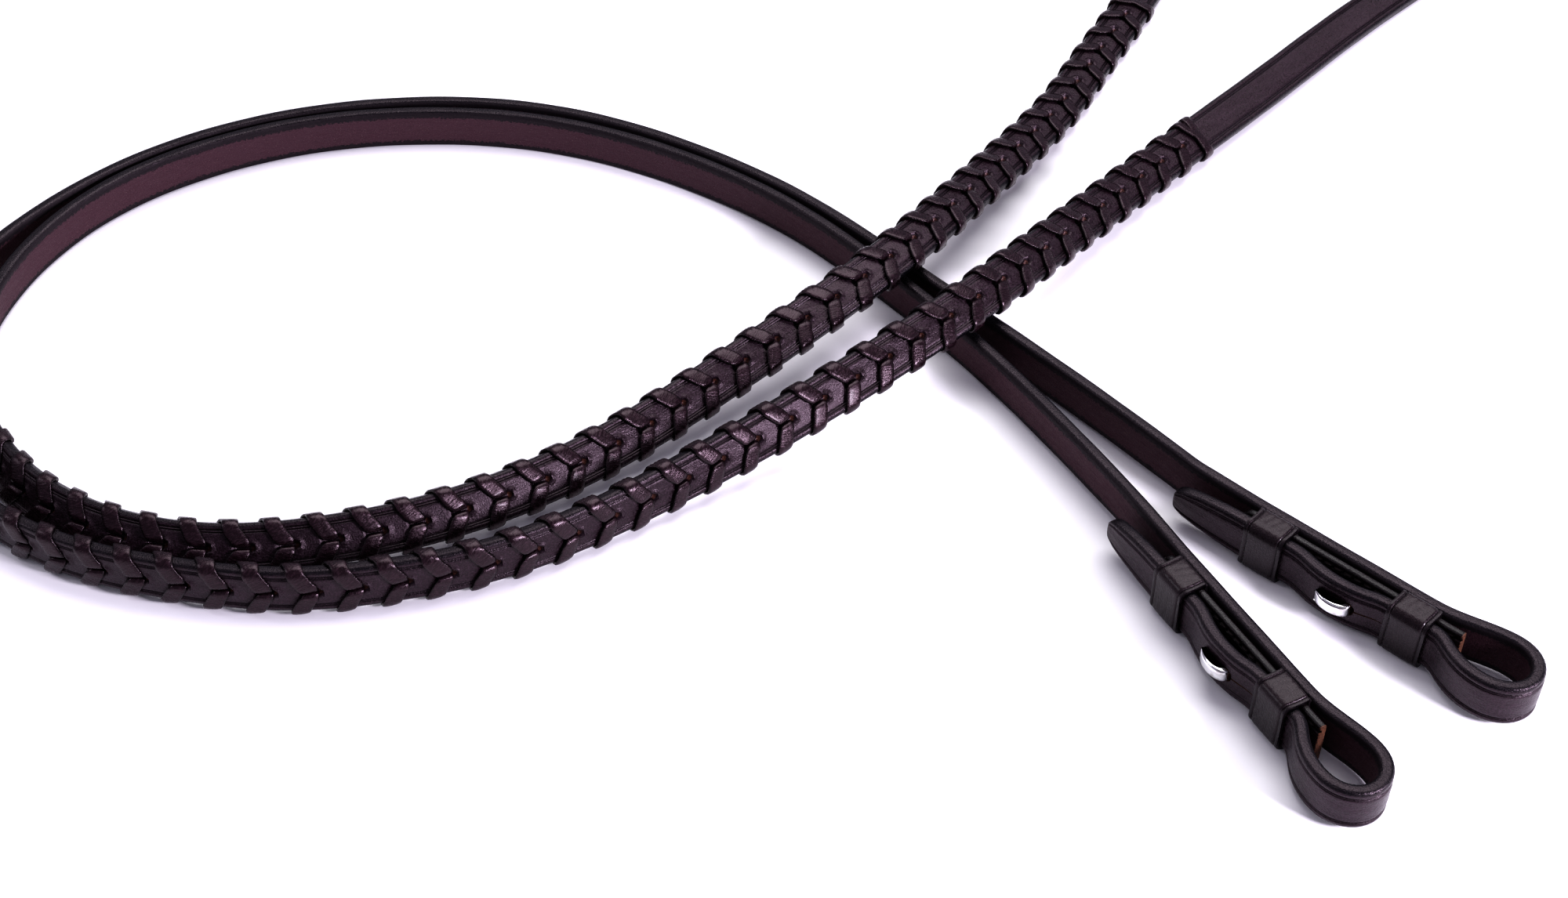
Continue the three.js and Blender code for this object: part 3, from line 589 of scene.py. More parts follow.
def lining_leather():
    m = Nodes("lining_leather")
    p = m.pattern()
    xyz = m.add("ShaderNodeSeparateXYZ", {0: p})
    tone, rough, normal = grain_nodes(m, p, colour("0b0507"), colour("1b1115"), 0.35)
    fibres = m.noise(m.scaled(p, (2.0, 0.7, 3.0)), 2.2, 5, 0.7)
    raw = m.mix(m.span(fibres, 0.4, 0.6), colour("2c1912"), colour("6b4632"))
    reach = m.math("ADD", xyz.outputs[0], m.span(fibres, 0.3, 0.7, -0.25, 0.25))
    end = m.span(reach, LINING_END - 0.35, LINING_END - 0.1)
    tone = m.mix(end, tone, raw)
    rough = m.math("ADD", rough, m.math("MULTIPLY", end, 0.35))
    return m.shade(Base_Color=tone, Roughness=rough, Normal=normal, Specular_IOR_Level=0.4)


def raw_leather():
    m = Nodes("raw_leather")
    p = m.pattern()
    fibres = m.noise(p, 5.0, 5, 0.7)
    tone = m.mix(m.span(fibres, 0.35, 0.65), colour("331f17"), colour("765440"))
    return m.shade(Base_Color=tone, Roughness=0.9, Normal=m.bump(fibres, 0.0002, 0.8))


def thread():
    m = Nodes("thread")
    p = m.pattern()
    twist = m.add(
        "ShaderNodeTexWave",
        {"Vector": m.scaled(p, (1.0, 1.4, 0.6)), "Scale": 1.1, "Distortion": 0.6, "Detail": 2.0},
        bands_direction="DIAGONAL",
    ).outputs["Fac"]
    tone = m.mix(m.span(twist, 0.2, 0.8), colour("1c1617"), colour("544847"))
    return m.shade(Base_Color=tone, Roughness=0.55, Normal=m.bump(twist, 0.00012, 0.8))


def nickel():
    m = Nodes("nickel")
    p = m.pattern()
    swirl = m.noise(m.scaled(p, (0.6, 3.0, 3.0)), 2.5, 4, 0.6)
    tarnish = m.noise(p, 0.35, 3, 0.5)
    tone = m.mix(m.span(tarnish, 0.45, 0.7), colour("dcdcde"), colour("b9b6b4"))
    rough = m.math("ADD", m.span(swirl, 0.3, 0.7, 0.1, 0.2), m.span(tarnish, 0.5, 0.7, 0.0, 0.08))
    return m.shade(
        Base_Color=tone, Roughness=rough, Metallic=1.0, Normal=m.bump(swirl, 0.00002, 0.4)
    )


STRAP = strap_leather()
LACE = lace_leather()
KEEPER = keeper_leather()
LINED = lining_leather()
RAW = raw_leather()
THREAD = thread()
NICKEL = nickel()


# ---------- straps ----------
def point_width(distance):
    """Half width of an English point, measured from its end, as a share of the strap's."""
    d = [0, 0.5, 1.5, 4, 10, 18, POINT_LENGTH]
    w = [1.6, 2.9, 4.1, 5.4, 6.6, 7.5, HALF_WIDTH]
    return np.interp(distance, d, w) / HALF_WIDTH


def girth_samples():
    front = [0.5, 1, 1.5, 2, 2.6, 3.3, 4, 4.55, 4.8, 4.95, 5.1, 5.35, 5.6, 5.75, 5.9, 6.15, 6.5]
    turn = [EDGE_RADIUS * math.pi / 2 * k / 5 for k in range(1, 6)]
    flat = HALF_WIDTH - EDGE_RADIUS
    side = flat + turn[-1] + 2 * (HALF_THICKNESS - EDGE_RADIUS)
    arcs = [flat + x for x in turn] + [side - 0.75, side] + [side + x for x in turn]
    back = [13.4, 14.4, 15.6, 17, 18.2]
    half = front + arcs + [x for x in back if x > arcs[-1] + 0.3]
    return np.array([HALF_GIRTH] + half[::-1] + [0] + [-x for x in half])


def relief(s, q):
    """Creases, a slight crown, and the slit, eye and raised lip of each lacing hole."""
    a = np.abs(q)
    front = a < HALF_WIDTH - EDGE_RADIUS
    d = np.where(front, 0.12 * np.cos(np.pi * a / 13), 0.0)
    for line in CREASES:
        d = d - np.where(front, 0.26 * np.exp(-(((a - line) / 0.19) ** 2)), 0)
    d = d + 0.03 * np.sin(s * 0.21 + 1.3 * q) + 0.025 * np.sin(s * 0.067 - 0.5 * q)
    hole = HOLES[np.clip(np.searchsorted(HOLES, s - LACE_PITCH / 2), 0, LACE_COUNT - 1)]
    x = s - hole
    near = front & (np.abs(x) < 6) & (a < 5)
    slit = np.clip((1.6 - a) / 0.5, 0, 1) * np.clip((x + 5.6) / 0.6, 0, 1)
    slit = slit * np.clip((0.3 - x) / 0.5, 0, 1)
    r = np.hypot(x - 0.2, q)
    eye = np.clip((1.15 - r) / 0.5, 0, 1)
    lip = 0.7 * np.exp(-(((r - 1.8) / 0.5) ** 2)) * np.clip((x + 0.2) / 1.2, 0, 1)
    pit = np.maximum(slit, eye)
    d = d + np.where(near, np.where(pit > 0.1, 0, lip) - 1.5 * pit, 0)
    behind = (np.abs(x + 2.5) < 2.6) & (HALF_GIRTH - a < 1.2) & ~front
    return d - np.where(behind, 1.0, 0)


def strap_distances(total_end):
    first, last = HOLES[0] - 6, HOLES[-1] + 4
    parts = [
        np.array([0, 0.25, 0.6, 1.1]),
        np.arange(1.9, 285, 1.5),
        np.arange(285, first, 3.3),
        np.arange(first, last, 0.69),
        np.arange(last, total_end, 2.8),
    ]
    return np.concatenate(parts)


def end_share(distance):
    """Thickness near a cut end, where the edges are rubbed round."""
    return np.interp(distance, [0, 0.25, 0.6, 1.1, 6], [0.45, 0.7, 0.84, 0.9, 1.0])


def strap_piece(name, route, stations):
    """stations are rows of s, level, pitch, width share and thickness share."""
    st = np.array(stations, float)
    q = girth_samples()
    s = np.repeat(st[:, :1], len(q), axis=1)
    u, v = outline(np.broadcast_to(q, s.shape), relief(s, np.broadcast_to(q, s.shape)))
    u = u * st[:, 3:4]
    h = v * st[:, 4:5]
    pitch = st[:, 2:3]
    points = route.place(s - np.sin(pitch) * h, u, st[:, 1:2] + np.cos(pitch) * h)
    flat_s = np.cumsum(np.concatenate([[0], np.maximum(0.2, np.abs(np.diff(st[:, 0])))]))
    strap = np.stack([np.repeat(flat_s[:, None], len(q), axis=1), u / st[:, 3:4], v], axis=2)
    faces = ring_faces(len(st), len(q))
    return new_piece(name, points.reshape(-1, 3), faces, strap.reshape(-1, 3), [STRAP, RAW])


def prism(outline_points, low, high, place):
    """A closed prism for cutting: outline points (a, b), swept in c from low to high."""
    n = len(outline_points)
    points = [place(a, b, c) for c in (low, high) for a, b in outline_points]
    faces = [tuple(range(n - 1, -1, -1)), tuple(range(n, 2 * n))]
    faces += [(k, (k + 1) % n, n + (k + 1) % n, n + k) for k in range(n)]
    middle = sum((Vector(p) for p in points), Vector()) / len(points)
    a, b, c = (Vector(points[faces[0][k]]) for k in (0, 1, 2))
    if (b - a).cross(c - a).dot(a - middle) < 0:
        faces = [f[::-1] for f in faces]
    return points, faces


def circle(x, y, r, count=20, start=0.0, sweep=2 * math.pi):
    return [
        (x + r * math.cos(start + sweep * k / count), y + r * math.sin(start + sweep * k / count))
        for k in range(count)
    ]


def bit_place(bit):
    x, y, ax, ay = bit_axes(bit)

    def place(e, n, u):
        return ((x + e * ax + n * ay) * MM, (y + e * ay - n * ax) * MM, (BIT_HEIGHT + u) * MM)

    return place


def stud_cut(bit):
    place = bit_place(bit)
    ring = circle(STEM_END - STEM / 2 - 0.2, 0, 2.75, 22, math.radians(12), math.radians(336))
    slit_end = LOOP_KEEPER_START - 0.7
    ring += [(STEM_END + 1.1, -0.32), (slit_end, -0.14), (slit_end, 0.14), (STEM_END + 1.1, 0.32)]
    return prism(ring, BILLET_LEVEL - 3.5, BILLET_LEVEL + 7, lambda e, u, n: place(e, n, u))


def centreline(route, end):
    middle = np.zeros(PATH_POINTS)
    return route.place(np.linspace(0, end, PATH_POINTS), middle, middle)


def left_strap():
    s = strap_distances(LEFT_LENGTH - KEEPER_FAR - 12)
    rows = [(x, 0, 0, point_width(x), end_share(x)) for x in s]
    third = SKIVED / (2 * HALF_THICKNESS)
    end = LEFT_LENGTH
    rows += [(end - KEEPER_FAR - 4, 0, 0, 1, 1), (end - KEEPER_NEAR + 2, 0, 0, 1, 1)]
    rows += [(end - x, SKIVED_LEVEL * (1 - (x - 5) / 8), 0, 1, third + (1 - third) * (x - 5) / 8)
             for x in (11, 9, 7, 5)]
    rows += [(end - 2.5, SKIVED_LEVEL, 0, 1, third)]
    for k in range(17):
        a = math.pi * k / 16
        level = BAR_LEVEL + FOLD_RADIUS * math.cos(a)
        rows.append((end + FOLD_RADIUS * math.sin(a), level, -a, 1, third))
    under = [
        (4, BAR_LEVEL - FOLD_RADIUS, third), (8, -5.72, third), (12, UNDER_KEEPER, third),
        (KEEPER_FAR + 2, UNDER_KEEPER, third), (KEEPER_FAR + 5, UNDER_KEEPER + 0.5, third),
        (KEEPER_FAR + 9, UNDER - 0.3, third), (KEEPER_FAR + 12, UNDER, third),
        (CHAPE - 14, UNDER, third), (CHAPE - 6, UNDER + 0.45, 0.47),
        (CHAPE - 1, UNDER + 0.75, 0.34), (CHAPE, UNDER + 0.8, 0.26),
    ]
    rows += [(end - x, level, -math.pi, 1, share) for x, level, share in under]
    piece = strap_piece("rein_left", LEFT, rows)
    slot = [(end + 9, -1.8), (end + 9, 1.8)]
    slot += circle(end - 8.7, 0, 1.8, 12, math.pi / 2, math.pi) + [(end - 8.7, -1.8)]
    hole = prism(slot, BAR_LEVEL - 9, 5, lambda a, b, c: tuple(LEFT.place([a], [b], [c])[0]))
    cut(piece, [stud_cut(LEFT_BIT), hole], RAW)
    return piece, centreline(LEFT, end)


def right_strap():
    end = RIGHT_LENGTH
    s = strap_distances(end - POINT_LENGTH - 2)
    tail = end - np.array([POINT_LENGTH, 24, 20, 16, 12, 9, 6.5, 4.5, 3, 1.9, 1.1, 0.6, 0.25, 0])
    rows = [(x, 0, 0, point_width(x), end_share(x)) for x in s]
    rows += [(x, 0, 0, point_width(end - x), end_share(end - x)) for x in tail]
    piece = strap_piece("rein_right", RIGHT, rows)
    cutters = [stud_cut(RIGHT_BIT)]
    for k in range(PUNCHED_HOLES):
        centre = end - POINT_LENGTH - PUNCHED_START - PUNCHED_SPACING * k
        ring = circle(centre, 0, PUNCHED_RADIUS, 18)
        cutters.append(prism(ring, -5, 5, lambda a, b, c: tuple(RIGHT.place([a], [b], [c])[0])))
    cut(piece, cutters, RAW)
    return piece, centreline(RIGHT, end)


# ---------- laces ----------
# One pitch of lacing: q round the strap, s from its hole, height of its middle over the skin,
# half width, lean of its width from the strap's line, and tip of its thickness, in degrees.
ARM = [
    (9.6, -7.2, 0.62, 2.75, 22, 0),
    (7.4, -6.4, 0.62, 2.75, 26, 0),
    (5.2, -5.2, 0.66, 2.75, 27, 0),
    (3.4, -4.1, 0.72, 2.75, 24, 0),
    (2.1, -3.2, 0.74, 2.75, 16, -6),
    (1.35, -2.8, 0.56, 2.6, 8, -26),
    (0.9, -2.6, 0.1, 2.5, 3, -56),
    (0.78, -2.5, -0.7, 2.4, 0, -86),
    (0.72, -2.5, -1.7, 2.2, 0, -90),
    (0.0, -2.5, -2.7, 2.1, 0, 0),
    (-0.72, -2.5, -1.7, 2.2, 0, 90),
    (-0.78, -2.5, -0.7, 2.4, 0, 86),
    (-0.9, -2.6, 0.1, 2.5, -3, 56),
    (-1.35, -2.8, 0.56, 2.6, -8, 26),
    (-2.1, -3.2, 0.74, 2.75, -16, 6),
    (-3.4, -4.1, 0.72, 2.75, -24, 0),
    (-5.2, -5.2, 0.66, 2.75, -27, 0),
    (-7.4, -6.4, 0.62, 2.75, -20, 0),
    (-9.6, -6.9, 0.62, 2.75, 2, 0),
    (-12.0, -5.7, 0.62, 2.75, 28, 0),
    (-14.5, -3.8, 0.62, 2.75, 36, 0),
    (-19.2, -0.3, 0.62, 2.75, 36, 0),
    (-24.0, 3.2, 0.62, 2.75, 35, 0),
    (-26.6, 5.1, 0.62, 2.75, 30, 0),
]
START = [
    (20.5, -15.2, 0.5, 1.6, 36, 0),
    (19.2, -14.1, 0.6, 2.5, 36, 0),
    (14, -10.2, 0.62, 2.75, 36, 0),
]
FINISH = [
    (-29.0, 6.2, 0.62, 2.75, 18, 0),
    (-33.2, 7.0, 0.68, 2.75, 14, 0),
    (-36.4, 7.8, 0.85, 2.5, 12, 0),
    (-38.6, 8.3, 1.0, 2.2, 6, 0),
    (-41.2, 8.4, 0.85, 2.5, -2, 0),
    (-44.8, 7.9, 0.64, 2.75, -8, 0),
    (-47.8, 7.7, 0.62, 2.75, 2, 0),
    (-52.0, 8.6, 0.62, 2.75, 12, 0),
    (-57.6, 10.2, 0.62, 2.75, 12, 0),
    (-63.5, 11.0, 0.62, 2.75, 8, 0),
    (-67.2, 10.8, 0.62, 2.5, -4, 0),
    (-71.0, 10.3, 0.66, 2.2, -10, 0),
    (-74.0, 9.6, 0.7, 2.0, -16, 0),
    (-75.9, 9.1, 0.2, 1.8, -16, -40),
    (-76.5, 9.0, -1.2, 1.5, -16, -80),
]
THONG = [
    (1, 0), (0.97, 0.5), (0.86, 0.9), (0.5, 1.04), (0, 1.08), (-0.5, 1.04), (-0.86, 0.9),
    (-0.97, 0.5), (-1, 0), (-0.95, -0.6), (-0.8, -0.95), (0, -1), (0.8, -0.95), (0.95, -0.6),
]


def lace_piece(name, route):
    rows = [(q, s + HOLES[0], *rest) for q, s, *rest in START]
    for i, hole in enumerate(HOLES):
        shift = -2 * HALF_GIRTH * i
        rng = np.random.default_rng(17 * i + len(name))
        for q, s, *rest in ARM:
            jitter = rng.normal(0, 0.09) if abs(q) > 2 else 0
            rows.append((q + shift, s + hole + jitter, *rest))
    shift = -2 * HALF_GIRTH * (LACE_COUNT - 1)
    rows += [(q + shift, s + HOLES[-1], *rest) for q, s, *rest in FINISH]
    fine = catmull(rows, 4)
    q, s, d, half, lean, tip = fine.T
    lean, tip = np.radians(lean), np.radians(tip)
    w = np.array([x for x, _ in THONG])
    h = np.array([y for _, y in THONG]) * LACE_HALF_THICKNESS
    wide = half[:, None] * w
    tall = np.broadcast_to(h, wide.shape)
    qq = q[:, None] + wide * np.sin(lean)[:, None] + tall * np.sin(tip)[:, None]
    ss = s[:, None] + wide * np.cos(lean)[:, None]
    folded = (q + HALF_GIRTH) % (2 * HALF_GIRTH) - HALF_GIRTH
    heel = 0.16 * np.clip((HALF_WIDTH + 1 - np.abs(folded)) / 2, 0, 1)
    dd = d[:, None] + tall * np.cos(tip)[:, None] - wide * heel[:, None]
    u, v = outline(qq, dd)
    points = route.place(ss, u, v)
    run = np.cumsum(np.concatenate([[0], np.hypot(np.diff(q), np.diff(s))]))
    runs = np.repeat(run[:, None], len(w), axis=1)
    strap = np.stack([runs, np.broadcast_to(w, wide.shape), tall], axis=2).reshape(-1, 3)
    faces = ring_faces(len(fine), len(w))
    return new_piece(name, points.reshape(-1, 3), faces, strap, LACE)


# ---------- bit ends ----------
def lining_piece(name, bit):
    place = bit_place(bit)
    t = LINING
    side = [(HALF_WIDTH - 0.6, 0), (HALF_WIDTH - 0.1, 0.35), (HALF_WIDTH, 0.8)]
    side += [(HALF_WIDTH, t - 0.7), (HALF_WIDTH - 0.25, t - 0.2), (HALF_WIDTH - 0.8, t)]
    side += [(SEAM_OFFSET + 0.85, t)]
    side += [(SEAM_OFFSET + 0.6, t - 0.75), (SEAM_OFFSET - 0.6, t - 0.75), (SEAM_OFFSET - 0.85, t)]
    side += [(2.5, t), (0, t + 0.03)]
    section = side + [(-u, n) for u, n in side[-2::-1]]
    ends = [0, 0.25, 0.7, 1.4, 2.4, 3.6]
    e = [LINING_START + x for x in ends]
    e += list(np.arange(LINING_START + 5, LINING_END - 2, 1.6))
    e += [LINING_END - x for x in (1.2, 0.5, 0.2, 0)]
    points, strap = [], []
    for x in e:
        from_tip = x - LINING_START
        wide = 1 - 0.42 * max(0.0, 1 - from_tip / 4) ** 2.2
        thick = float(np.interp(from_tip, [0, 0.3, 1, 4], [0.5, 0.72, 0.85, 1]))
        thick *= float(np.interp(LINING_END - x, [0, 0.25, 0.6], [0.86, 0.96, 1]))
        for u, n in section:
            points.append(place(x, n * thick + 0.02 * math.sin(x * 0.9 + u), u * wide))
            strap.append((x, u, n))
    faces = ring_faces(len(e), len(section))
    return new_piece(name, points, faces, strap, LINED)


def rounded_box(low_u, high_u, low_n, high_n, radii, steps=7):
    """Points and outward directions round a box with rounded corners, counter-clockwise."""
    rb, rf = radii
    corners = [
        (high_u - rb, low_n + rb, rb, -90), (high_u - rf, high_n - rf, rf, 0),
        (low_u + rf, high_n - rf, rf, 90), (low_u + rb, low_n + rb, rb, 180),
    ]
    result = []
    for k, (cx, cy, r, start) in enumerate(corners):
        for i in range(steps + 1):
            a = math.radians(start + 90 * i / steps)
            result.append((cx + r * math.cos(a), cy + r * math.sin(a), math.cos(a), math.sin(a)))
        nx, ny, nr, ns = corners[(k + 1) % 4]
        x0, y0, dx, dy = result[-1]
        a = math.radians(ns)
        x1, y1 = nx + nr * math.cos(a), ny + nr * math.sin(a)
        for i in range(1, 6):
            f = i / 6
            result.append((x0 + (x1 - x0) * f, y0 + (y1 - y0) * f, dx, dy))
    return result


def keeper_piece(name, place, start, end, low, high, base):
    """A soft leather band round the strap; low, high and base are its walls, off the lining."""
    inner = HALF_WIDTH + CLEARANCE
    reach = inner + KEEPER_WALL
    outer = rounded_box(-reach, reach, base, high + KEEPER_WALL, (1.3, 3.4))
    half = (end - start) / 2
    middle = (start + end) / 2
    marks = [-half + 1.5, half - 1.5]
    across = list(np.linspace(-half + 0.5, half - 0.5, 29))
    across = sorted(across + [m + x for m in marks for x in (-0.2, 0, 0.2)])
    strap, points = [], []
    run = 0.0
    for k, (u, n, du, dn) in enumerate(outer):
        back = n < low and dn < -0.5
        wall = (low - base) if back else KEEPER_WALL
        rows = [(-half + 0.4, wall), (half - 0.4, wall), (half - 0.05, wall - 0.25)]
        rows += [(half, wall * 0.5), (half - 0.12, 0.22)]
        for x in reversed(across):
            rim = sum(math.exp(-(((x - m) / 0.26) ** 2)) for m in marks)
            crown = 0.16 * (1 - (x / half) ** 2)
            pucker = 0.05 * math.sin(2.3 * x + 0.7 * k) * (1 - (x / half) ** 2)
            rows.append((x, 0.16 - crown + 0.36 * rim + pucker * 0.5))
        rows += [(-half + 0.12, 0.22), (-half, wall * 0.5), (-half + 0.05, wall - 0.25)]
        columns = len(rows)
        wave = 0.12 * math.sin(0.5 * k + 1.1 * len(name))
        for x, inset in rows:
            along = middle + x + wave * (abs(x) / half)
            points.append(place(along, n - dn * inset, u - du * inset))
            strap.append((run, x * 7 / half, inset))
        run += 1.4
    faces = ring_faces(len(outer), columns, closed=True)
    return new_piece(name, points, faces, strap, KEEPER)


def smooth_slab(profile, half, place, insets):
    """A closed profile swept across from -half to half, its edges drawn in by insets."""
    p = np.array(profile, float)
    ahead, behind = np.roll(p, -1, axis=0), np.roll(p, 1, axis=0)
    t = ahead - behind
    t /= np.linalg.norm(t, axis=1)[:, None]
    area = 0.5 * np.sum(p[:, 0] * ahead[:, 1] - p[:, 1] * ahead[:, 0])
    inward = np.stack([-t[:, 1], t[:, 0]], axis=1) * (1 if area > 0 else -1)
    rows = [(-half + x, d) for x, d in insets] + [(half - x, d) for x, d in insets[::-1]]
    points, strap = [], []
    for w, d in rows:
        for (x, y), (nx, ny) in zip(p, inward):
            points.append(place(x + nx * d, y + ny * d, w))
            strap.append((x, w, y))
    return points, ring_faces(len(rows), len(p)), strap


def bezier(a, b, c, d, count=10):
    t = np.linspace(0, 1, count)[:, None]
    a, b, c, d = (np.array(x, float) for x in (a, b, c, d))
    p = (1 - t) ** 3 * a + 3 * (1 - t) ** 2 * t * b + 3 * (1 - t) * t**2 * c + t**3 * d
    return [tuple(x) for x in p]


def stud_piece(name, bit):
    place = bit_place(bit)
    right, left = STEM_END, STEM_END - STEM
    plate = [(x, -1.4) for x in np.linspace(16.8, 28.8, 9)]
    plate += bezier((28.8, -1.4), (29.3, -1.4), (29.3, -1.0), (29.2, -0.8), 4)[1:]
    plate += [(28.6, -0.35), (right + 0.3, -0.3)]
    hook = [(right, y) for y in (0.2, 1.5, 3, 4.5, 6, 7.5, 9)]
    hook += bezier((right, 10), (right, 13.4), (18.6, 14.8), (15.2, 11.0), 18)
    hook += bezier((15.05, 10.75), (14.95, 10.5), (15.3, 10.3), (15.7, 10.45), 5)[1:]
    hook += bezier((16.0, 10.65), (19.2, 12.5), (left, 12.1), (left, 9.6), 12)
    hook += [(left, y) for y in (8, 6.5, 5, 3.5, 2, 0.6)]
    foot = [(left - 0.3, -0.3), (20, -0.3), (17.2, -0.35), (16.5, -0.7), (16.4, -1.1)]
    profile = plate + hook + foot
    insets = [(0, 0.75), (0.12, 0.42), (0.4, 0.15), (0.85, 0.0), (1.6, 0.0)]
    points, faces, strap = smooth_slab(profile, STUD_HALF_WIDTH, place, insets)
    return new_piece(name, points, faces, strap, NICKEL, sharp=70)


def stitches(name, place, start, end, offset, floor, top, slant):
    """Saddle stitches: short rounded lengths of thread, each leaning across the seam."""
    points, faces, strap = [], [], []
    sides = 10
    count = int((end - start) / STITCH_PITCH)
    for i in range(count):
        middle = start + STITCH_PITCH * (i + 0.5)
        base = len(points)
        profile = [(-1, 0.12), (-0.93, 0.55), (-0.75, 0.88), (-0.4, 1), (0, 1.04), (0.4, 1)]
        profile += [(0.75, 0.88), (0.93, 0.55), (1, 0.12)]
        for f, r in profile:
            height = floor + (top - floor - STITCH_RADIUS) * (1 - f**4) + 0.02 * math.sin(5.0 * i)
            for k in range(sides):
                a = 2 * math.pi * k / sides
                x = middle + f * (STITCH_PITCH / 2 - 0.22)
                u = offset + f * slant + STITCH_RADIUS * r * math.cos(a)
                points.append(place(x, height + STITCH_RADIUS * r * math.sin(a), u))
                strap.append((x * 2, 3 * math.cos(a), 3 * math.sin(a)))
        for f in ring_faces(len(profile), sides):
            faces.append(tuple(base + k for k in f))
    return new_piece(name, points, faces, strap, THREAD)


def bit_end(side, bit):
    place = bit_place(bit)
    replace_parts(lining_piece(f"lining_{side}", bit), f"bit_lining_{side}")
    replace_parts(stud_piece(f"hook_{side}", bit), f"hook_stud_{side}")
    high = BILLET_LEVEL + HALF_THICKNESS + CLEARANCE
    base = -CLEARANCE - KEEPER_TAIL
    tip = keeper_piece(f"band_tip_{side}", place, -KEEPER_WIDTH, 0, -CLEARANCE, high, base)
    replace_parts(tip, f"keeper_tip_{side}")
    loop = keeper_piece(
        f"band_loop_{side}", place, LOOP_KEEPER_START, LOOP_KEEPER_END, -CLEARANCE, high, base
    )
    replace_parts(loop, f"keeper_loop_{side}")
    for word, offset in (("upper", SEAM_OFFSET), ("lower", -SEAM_OFFSET)):
        seam = stitches(
            f"stitches_{word}_{side}", place, LINING_START + 2, LINING_END - 2, offset,
            LINING - 0.55, LINING + 0.15, slant=0.22,
        )
        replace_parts(seam, f"seam_{word}_{side}")


# ---------- buckle ----------
def bar_place(tilt=0.0):
    origin, along, _, outward = LEFT.section([LEFT_LENGTH])
    centre = (origin + outward * BAR_LEVEL)[0]
    flat = np.array([along[0][0], along[0][1], 0])
    x = flat / np.linalg.norm(flat)
    y = np.array([-x[1], x[0], 0])
    z = np.array([0, 0, 1.0])
    c, s = math.cos(tilt), math.sin(tilt)
    x, z = x * c - z * s, x * s + z * c

    def place(a, b, h):
        return tuple((centre + x * a + y * b + z * h) * MM)

    return place, centre[2]


def sweep_wire(path, radii, place, squareness, sides=16):
    """A rounded wire along a path of (x, y, h) points; radii are its half width and half height."""
    p = np.array(path, float)
    t = np.gradient(p, axis=0)
    t /= np.linalg.norm(t, axis=1)[:, None]
    up = np.array([0, 0, 1.0])
    points, strap = [], []
    run = 0.0
    for i in range(len(p)):
        side = np.cross(t[i], up)
        side /= np.linalg.norm(side)
        a, b = radii[i] if isinstance(radii, list) else radii
        if i:
            run += float(np.linalg.norm(p[i] - p[i - 1]))
        for k in range(sides):
            w = 2 * math.pi * k / sides
            c, s = math.cos(w), math.sin(w)
            c = math.copysign(abs(c) ** (2 / squareness), c)
            s = math.copysign(abs(s) ** (2 / squareness), s)
            points.append(place(*(p[i] + side * a * c + up * b * s)))
            strap.append((run, a * c, b * s))
    return points, ring_faces(len(p), sides), strap


def join(*shapes):
    points, faces, strap = [], [], []
    for p, f, s in shapes:
        base = len(points)
        points += p
        strap += s
        faces += [tuple(base + i for i in face) for face in f]
    return points, faces, strap


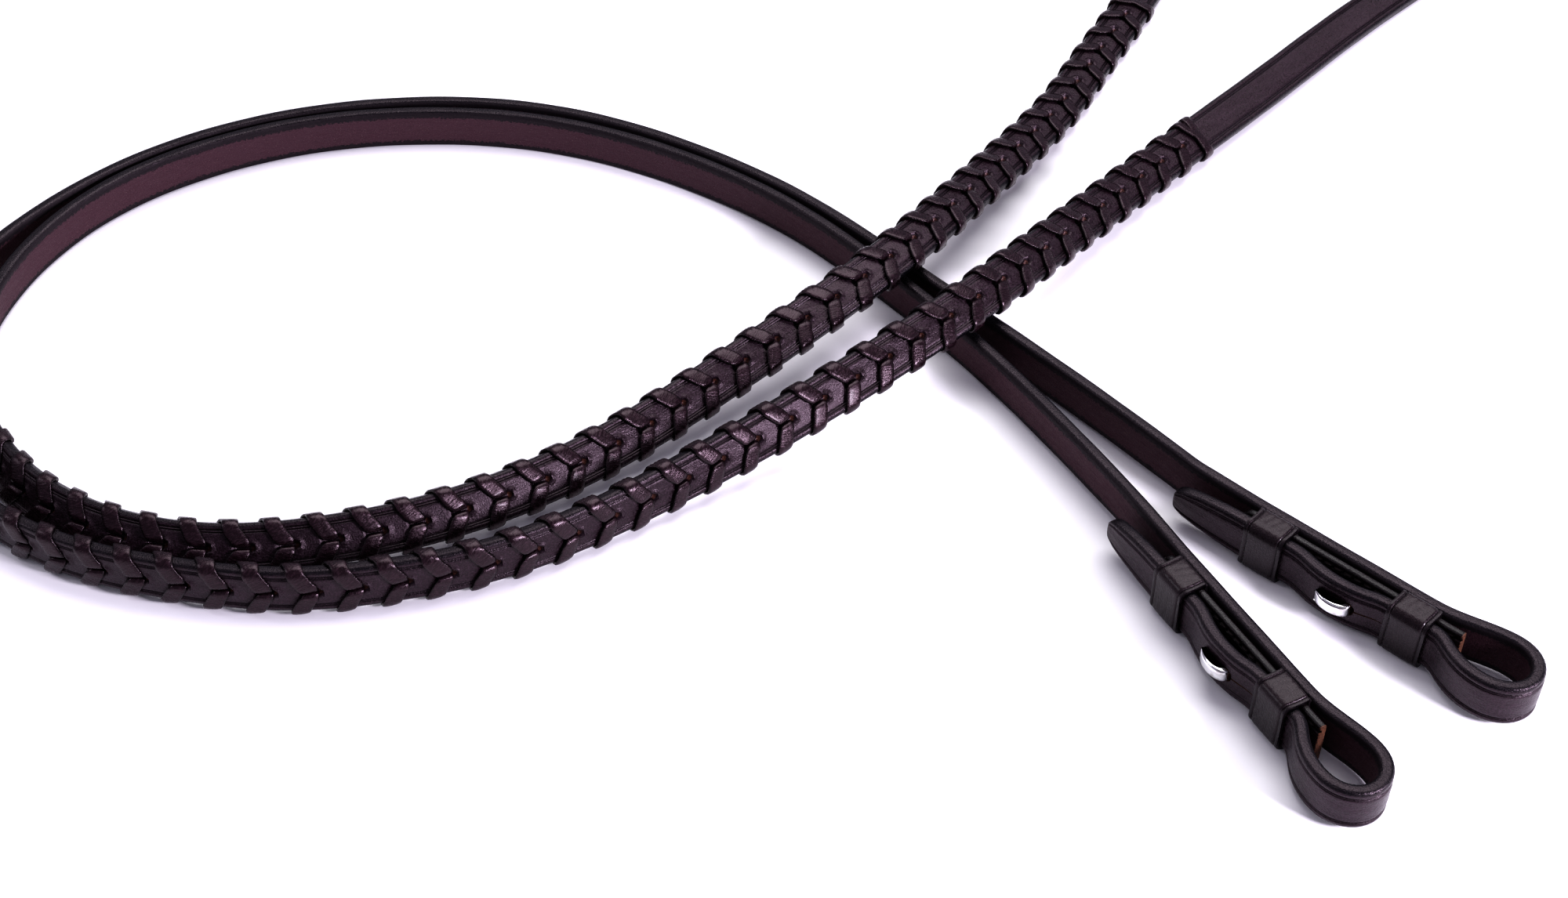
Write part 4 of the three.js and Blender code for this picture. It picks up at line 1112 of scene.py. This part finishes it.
def buckle_pieces():
    _, height = bar_place()
    tilt = math.asin((height - BUCKLE_SIDE / 2 - 0.1) / BUCKLE_LENGTH)
    place, _ = bar_place(tilt)
    half = HALF_WIDTH + 2 * CLEARANCE + BUCKLE_SIDE / 2
    r = BUCKLE_SIDE / 2
    far = BUCKLE_LENGTH - r
    bend = 4.2
    path = [(-r, -half, 0), (-r + 0.2, -half, 0), (-r + 0.7, -half, 0), (0, -half, 0)]
    path += [(x, -half, 0) for x in np.linspace(1.5, far - bend - 0.5, 9)]
    path += [(far - bend + bend * math.sin(a), -half + bend - bend * math.cos(a), 0)
             for a in np.linspace(0, math.pi / 2, 9)]
    path += [(far, y, 0) for y in np.linspace(-half + bend + 1, 0, 6)]
    path += [(x, -y, z) for x, y, z in path[-2::-1]]
    thin = [(0.4 * r, 0.4 * r), (0.75 * r, 0.75 * r), (0.95 * r, 0.95 * r), (r, r)]
    radii = thin + [(r, r)] * (len(path) - 8) + thin[::-1]
    hoop = sweep_wire(path, radii, place, 2.5)
    bar_path = [(0, y, 0) for y in np.linspace(-half, half, 9)]
    bar = sweep_wire(bar_path, (BAR / 2, BAR / 2), place, 2.0)
    points, faces, strap = join(hoop, bar)
    hoop = new_piece(
        "buckle_hoop_metal", points, faces, strap, NICKEL, body="buckle_hoop"
    )
    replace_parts(hoop, "buckle_frame")

    bore = BAR / 2 + CLEARANCE
    middle = bore + 0.75
    turn = np.radians(np.linspace(26, -264, 27))
    line = [(middle * math.cos(a), middle * math.sin(a)) for a in turn]
    reach = BUCKLE_LENGTH + 1.2
    rest = BUCKLE_SIDE / 2 + CLEARANCE
    line += [(1.2, middle - 0.02), (3, middle), (6, middle), (10, middle), (14, middle - 0.02),
             (18, middle - 0.06), (21, rest + 0.5), (reach - 1, rest + 0.46),
             (reach - 0.2, rest + 0.43), (reach, rest + 0.42)]
    thick = [0.55, 0.7] + [0.75] * 25
    thick += [0.72, 0.68, 0.66, 0.64, 0.62, 0.56, 0.48, 0.42, 0.3, 0.12]
    wide = [1.3, 1.45] + [1.5] * 26
    wide += [1.45, 1.35, 1.3, 1.25, 1.3, 1.25, 1.15, 0.9, 0.5]
    p = np.array(line)
    t = np.gradient(p, axis=0)
    t /= np.linalg.norm(t, axis=1)[:, None]
    normal = np.stack([-t[:, 1], t[:, 0]], axis=1)
    points, strap = [], []
    sides = 14
    for i in range(len(p)):
        for k in range(sides):
            w = 2 * math.pi * k / sides
            c, s = math.cos(w), math.sin(w)
            c = math.copysign(abs(c) ** 0.75, c) * wide[i]
            s = math.copysign(abs(s) ** 0.75, s) * thick[i]
            x, z = p[i] + normal[i] * s
            points.append(place(x, c, z))
            strap.append((i, c, s))
    faces = ring_faces(len(p), sides)
    tongue = new_piece(
        "buckle_pin_metal", points, faces, strap, NICKEL, body="buckle_pin"
    )
    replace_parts(tongue, "buckle_tongue")
    return hoop, tongue


def on_left(s, v, u):
    return tuple(LEFT.place([s], [u], [v])[0])


# ---------- the pair of reins ----------
left, left_path = left_strap()
right, right_path = right_strap()
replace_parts(left, "rein_strap_left")
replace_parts(right, "rein_strap_right")
left_lace = lace_piece("lacing_left", LEFT)
right_lace = lace_piece("lacing_right", RIGHT)
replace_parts(left_lace, "lace_left")
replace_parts(right_lace, "lace_right")
bit_end("left", LEFT_BIT)
bit_end("right", RIGHT_BIT)
metal = buckle_pieces()
buckle_keeper = keeper_piece(
    "band_buckle", on_left, LEFT_LENGTH - KEEPER_FAR, LEFT_LENGTH - KEEPER_NEAR,
    -HALF_THICKNESS - CLEARANCE, HALF_THICKNESS * 3 + 2 * CLEARANCE,
    -HALF_THICKNESS - CLEARANCE - KEEPER_TAIL,
)
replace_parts(buckle_keeper, "buckle_keeper")
for word, offset in (("a", SEAM_OFFSET), ("b", -SEAM_OFFSET)):
    seam = stitches(
        f"chape_stitches_{word}", on_left, LEFT_LENGTH - CHAPE + 3, LEFT_LENGTH - KEEPER_FAR - 3,
        offset, HALF_THICKNESS - 0.5, HALF_THICKNESS + 0.45, slant=0.3,
    )
    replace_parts(seam, f"chape_seam_{word}")

tuple(left_path[0])
[tuple(p) for p in left_path]
tuple(right_path[0])
[tuple(p) for p in right_path]

boxes = {"cad": cad_box, "visual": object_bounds()}
{k: [[float(x) for x in corner] for corner in v] for k, v in boxes.items()}
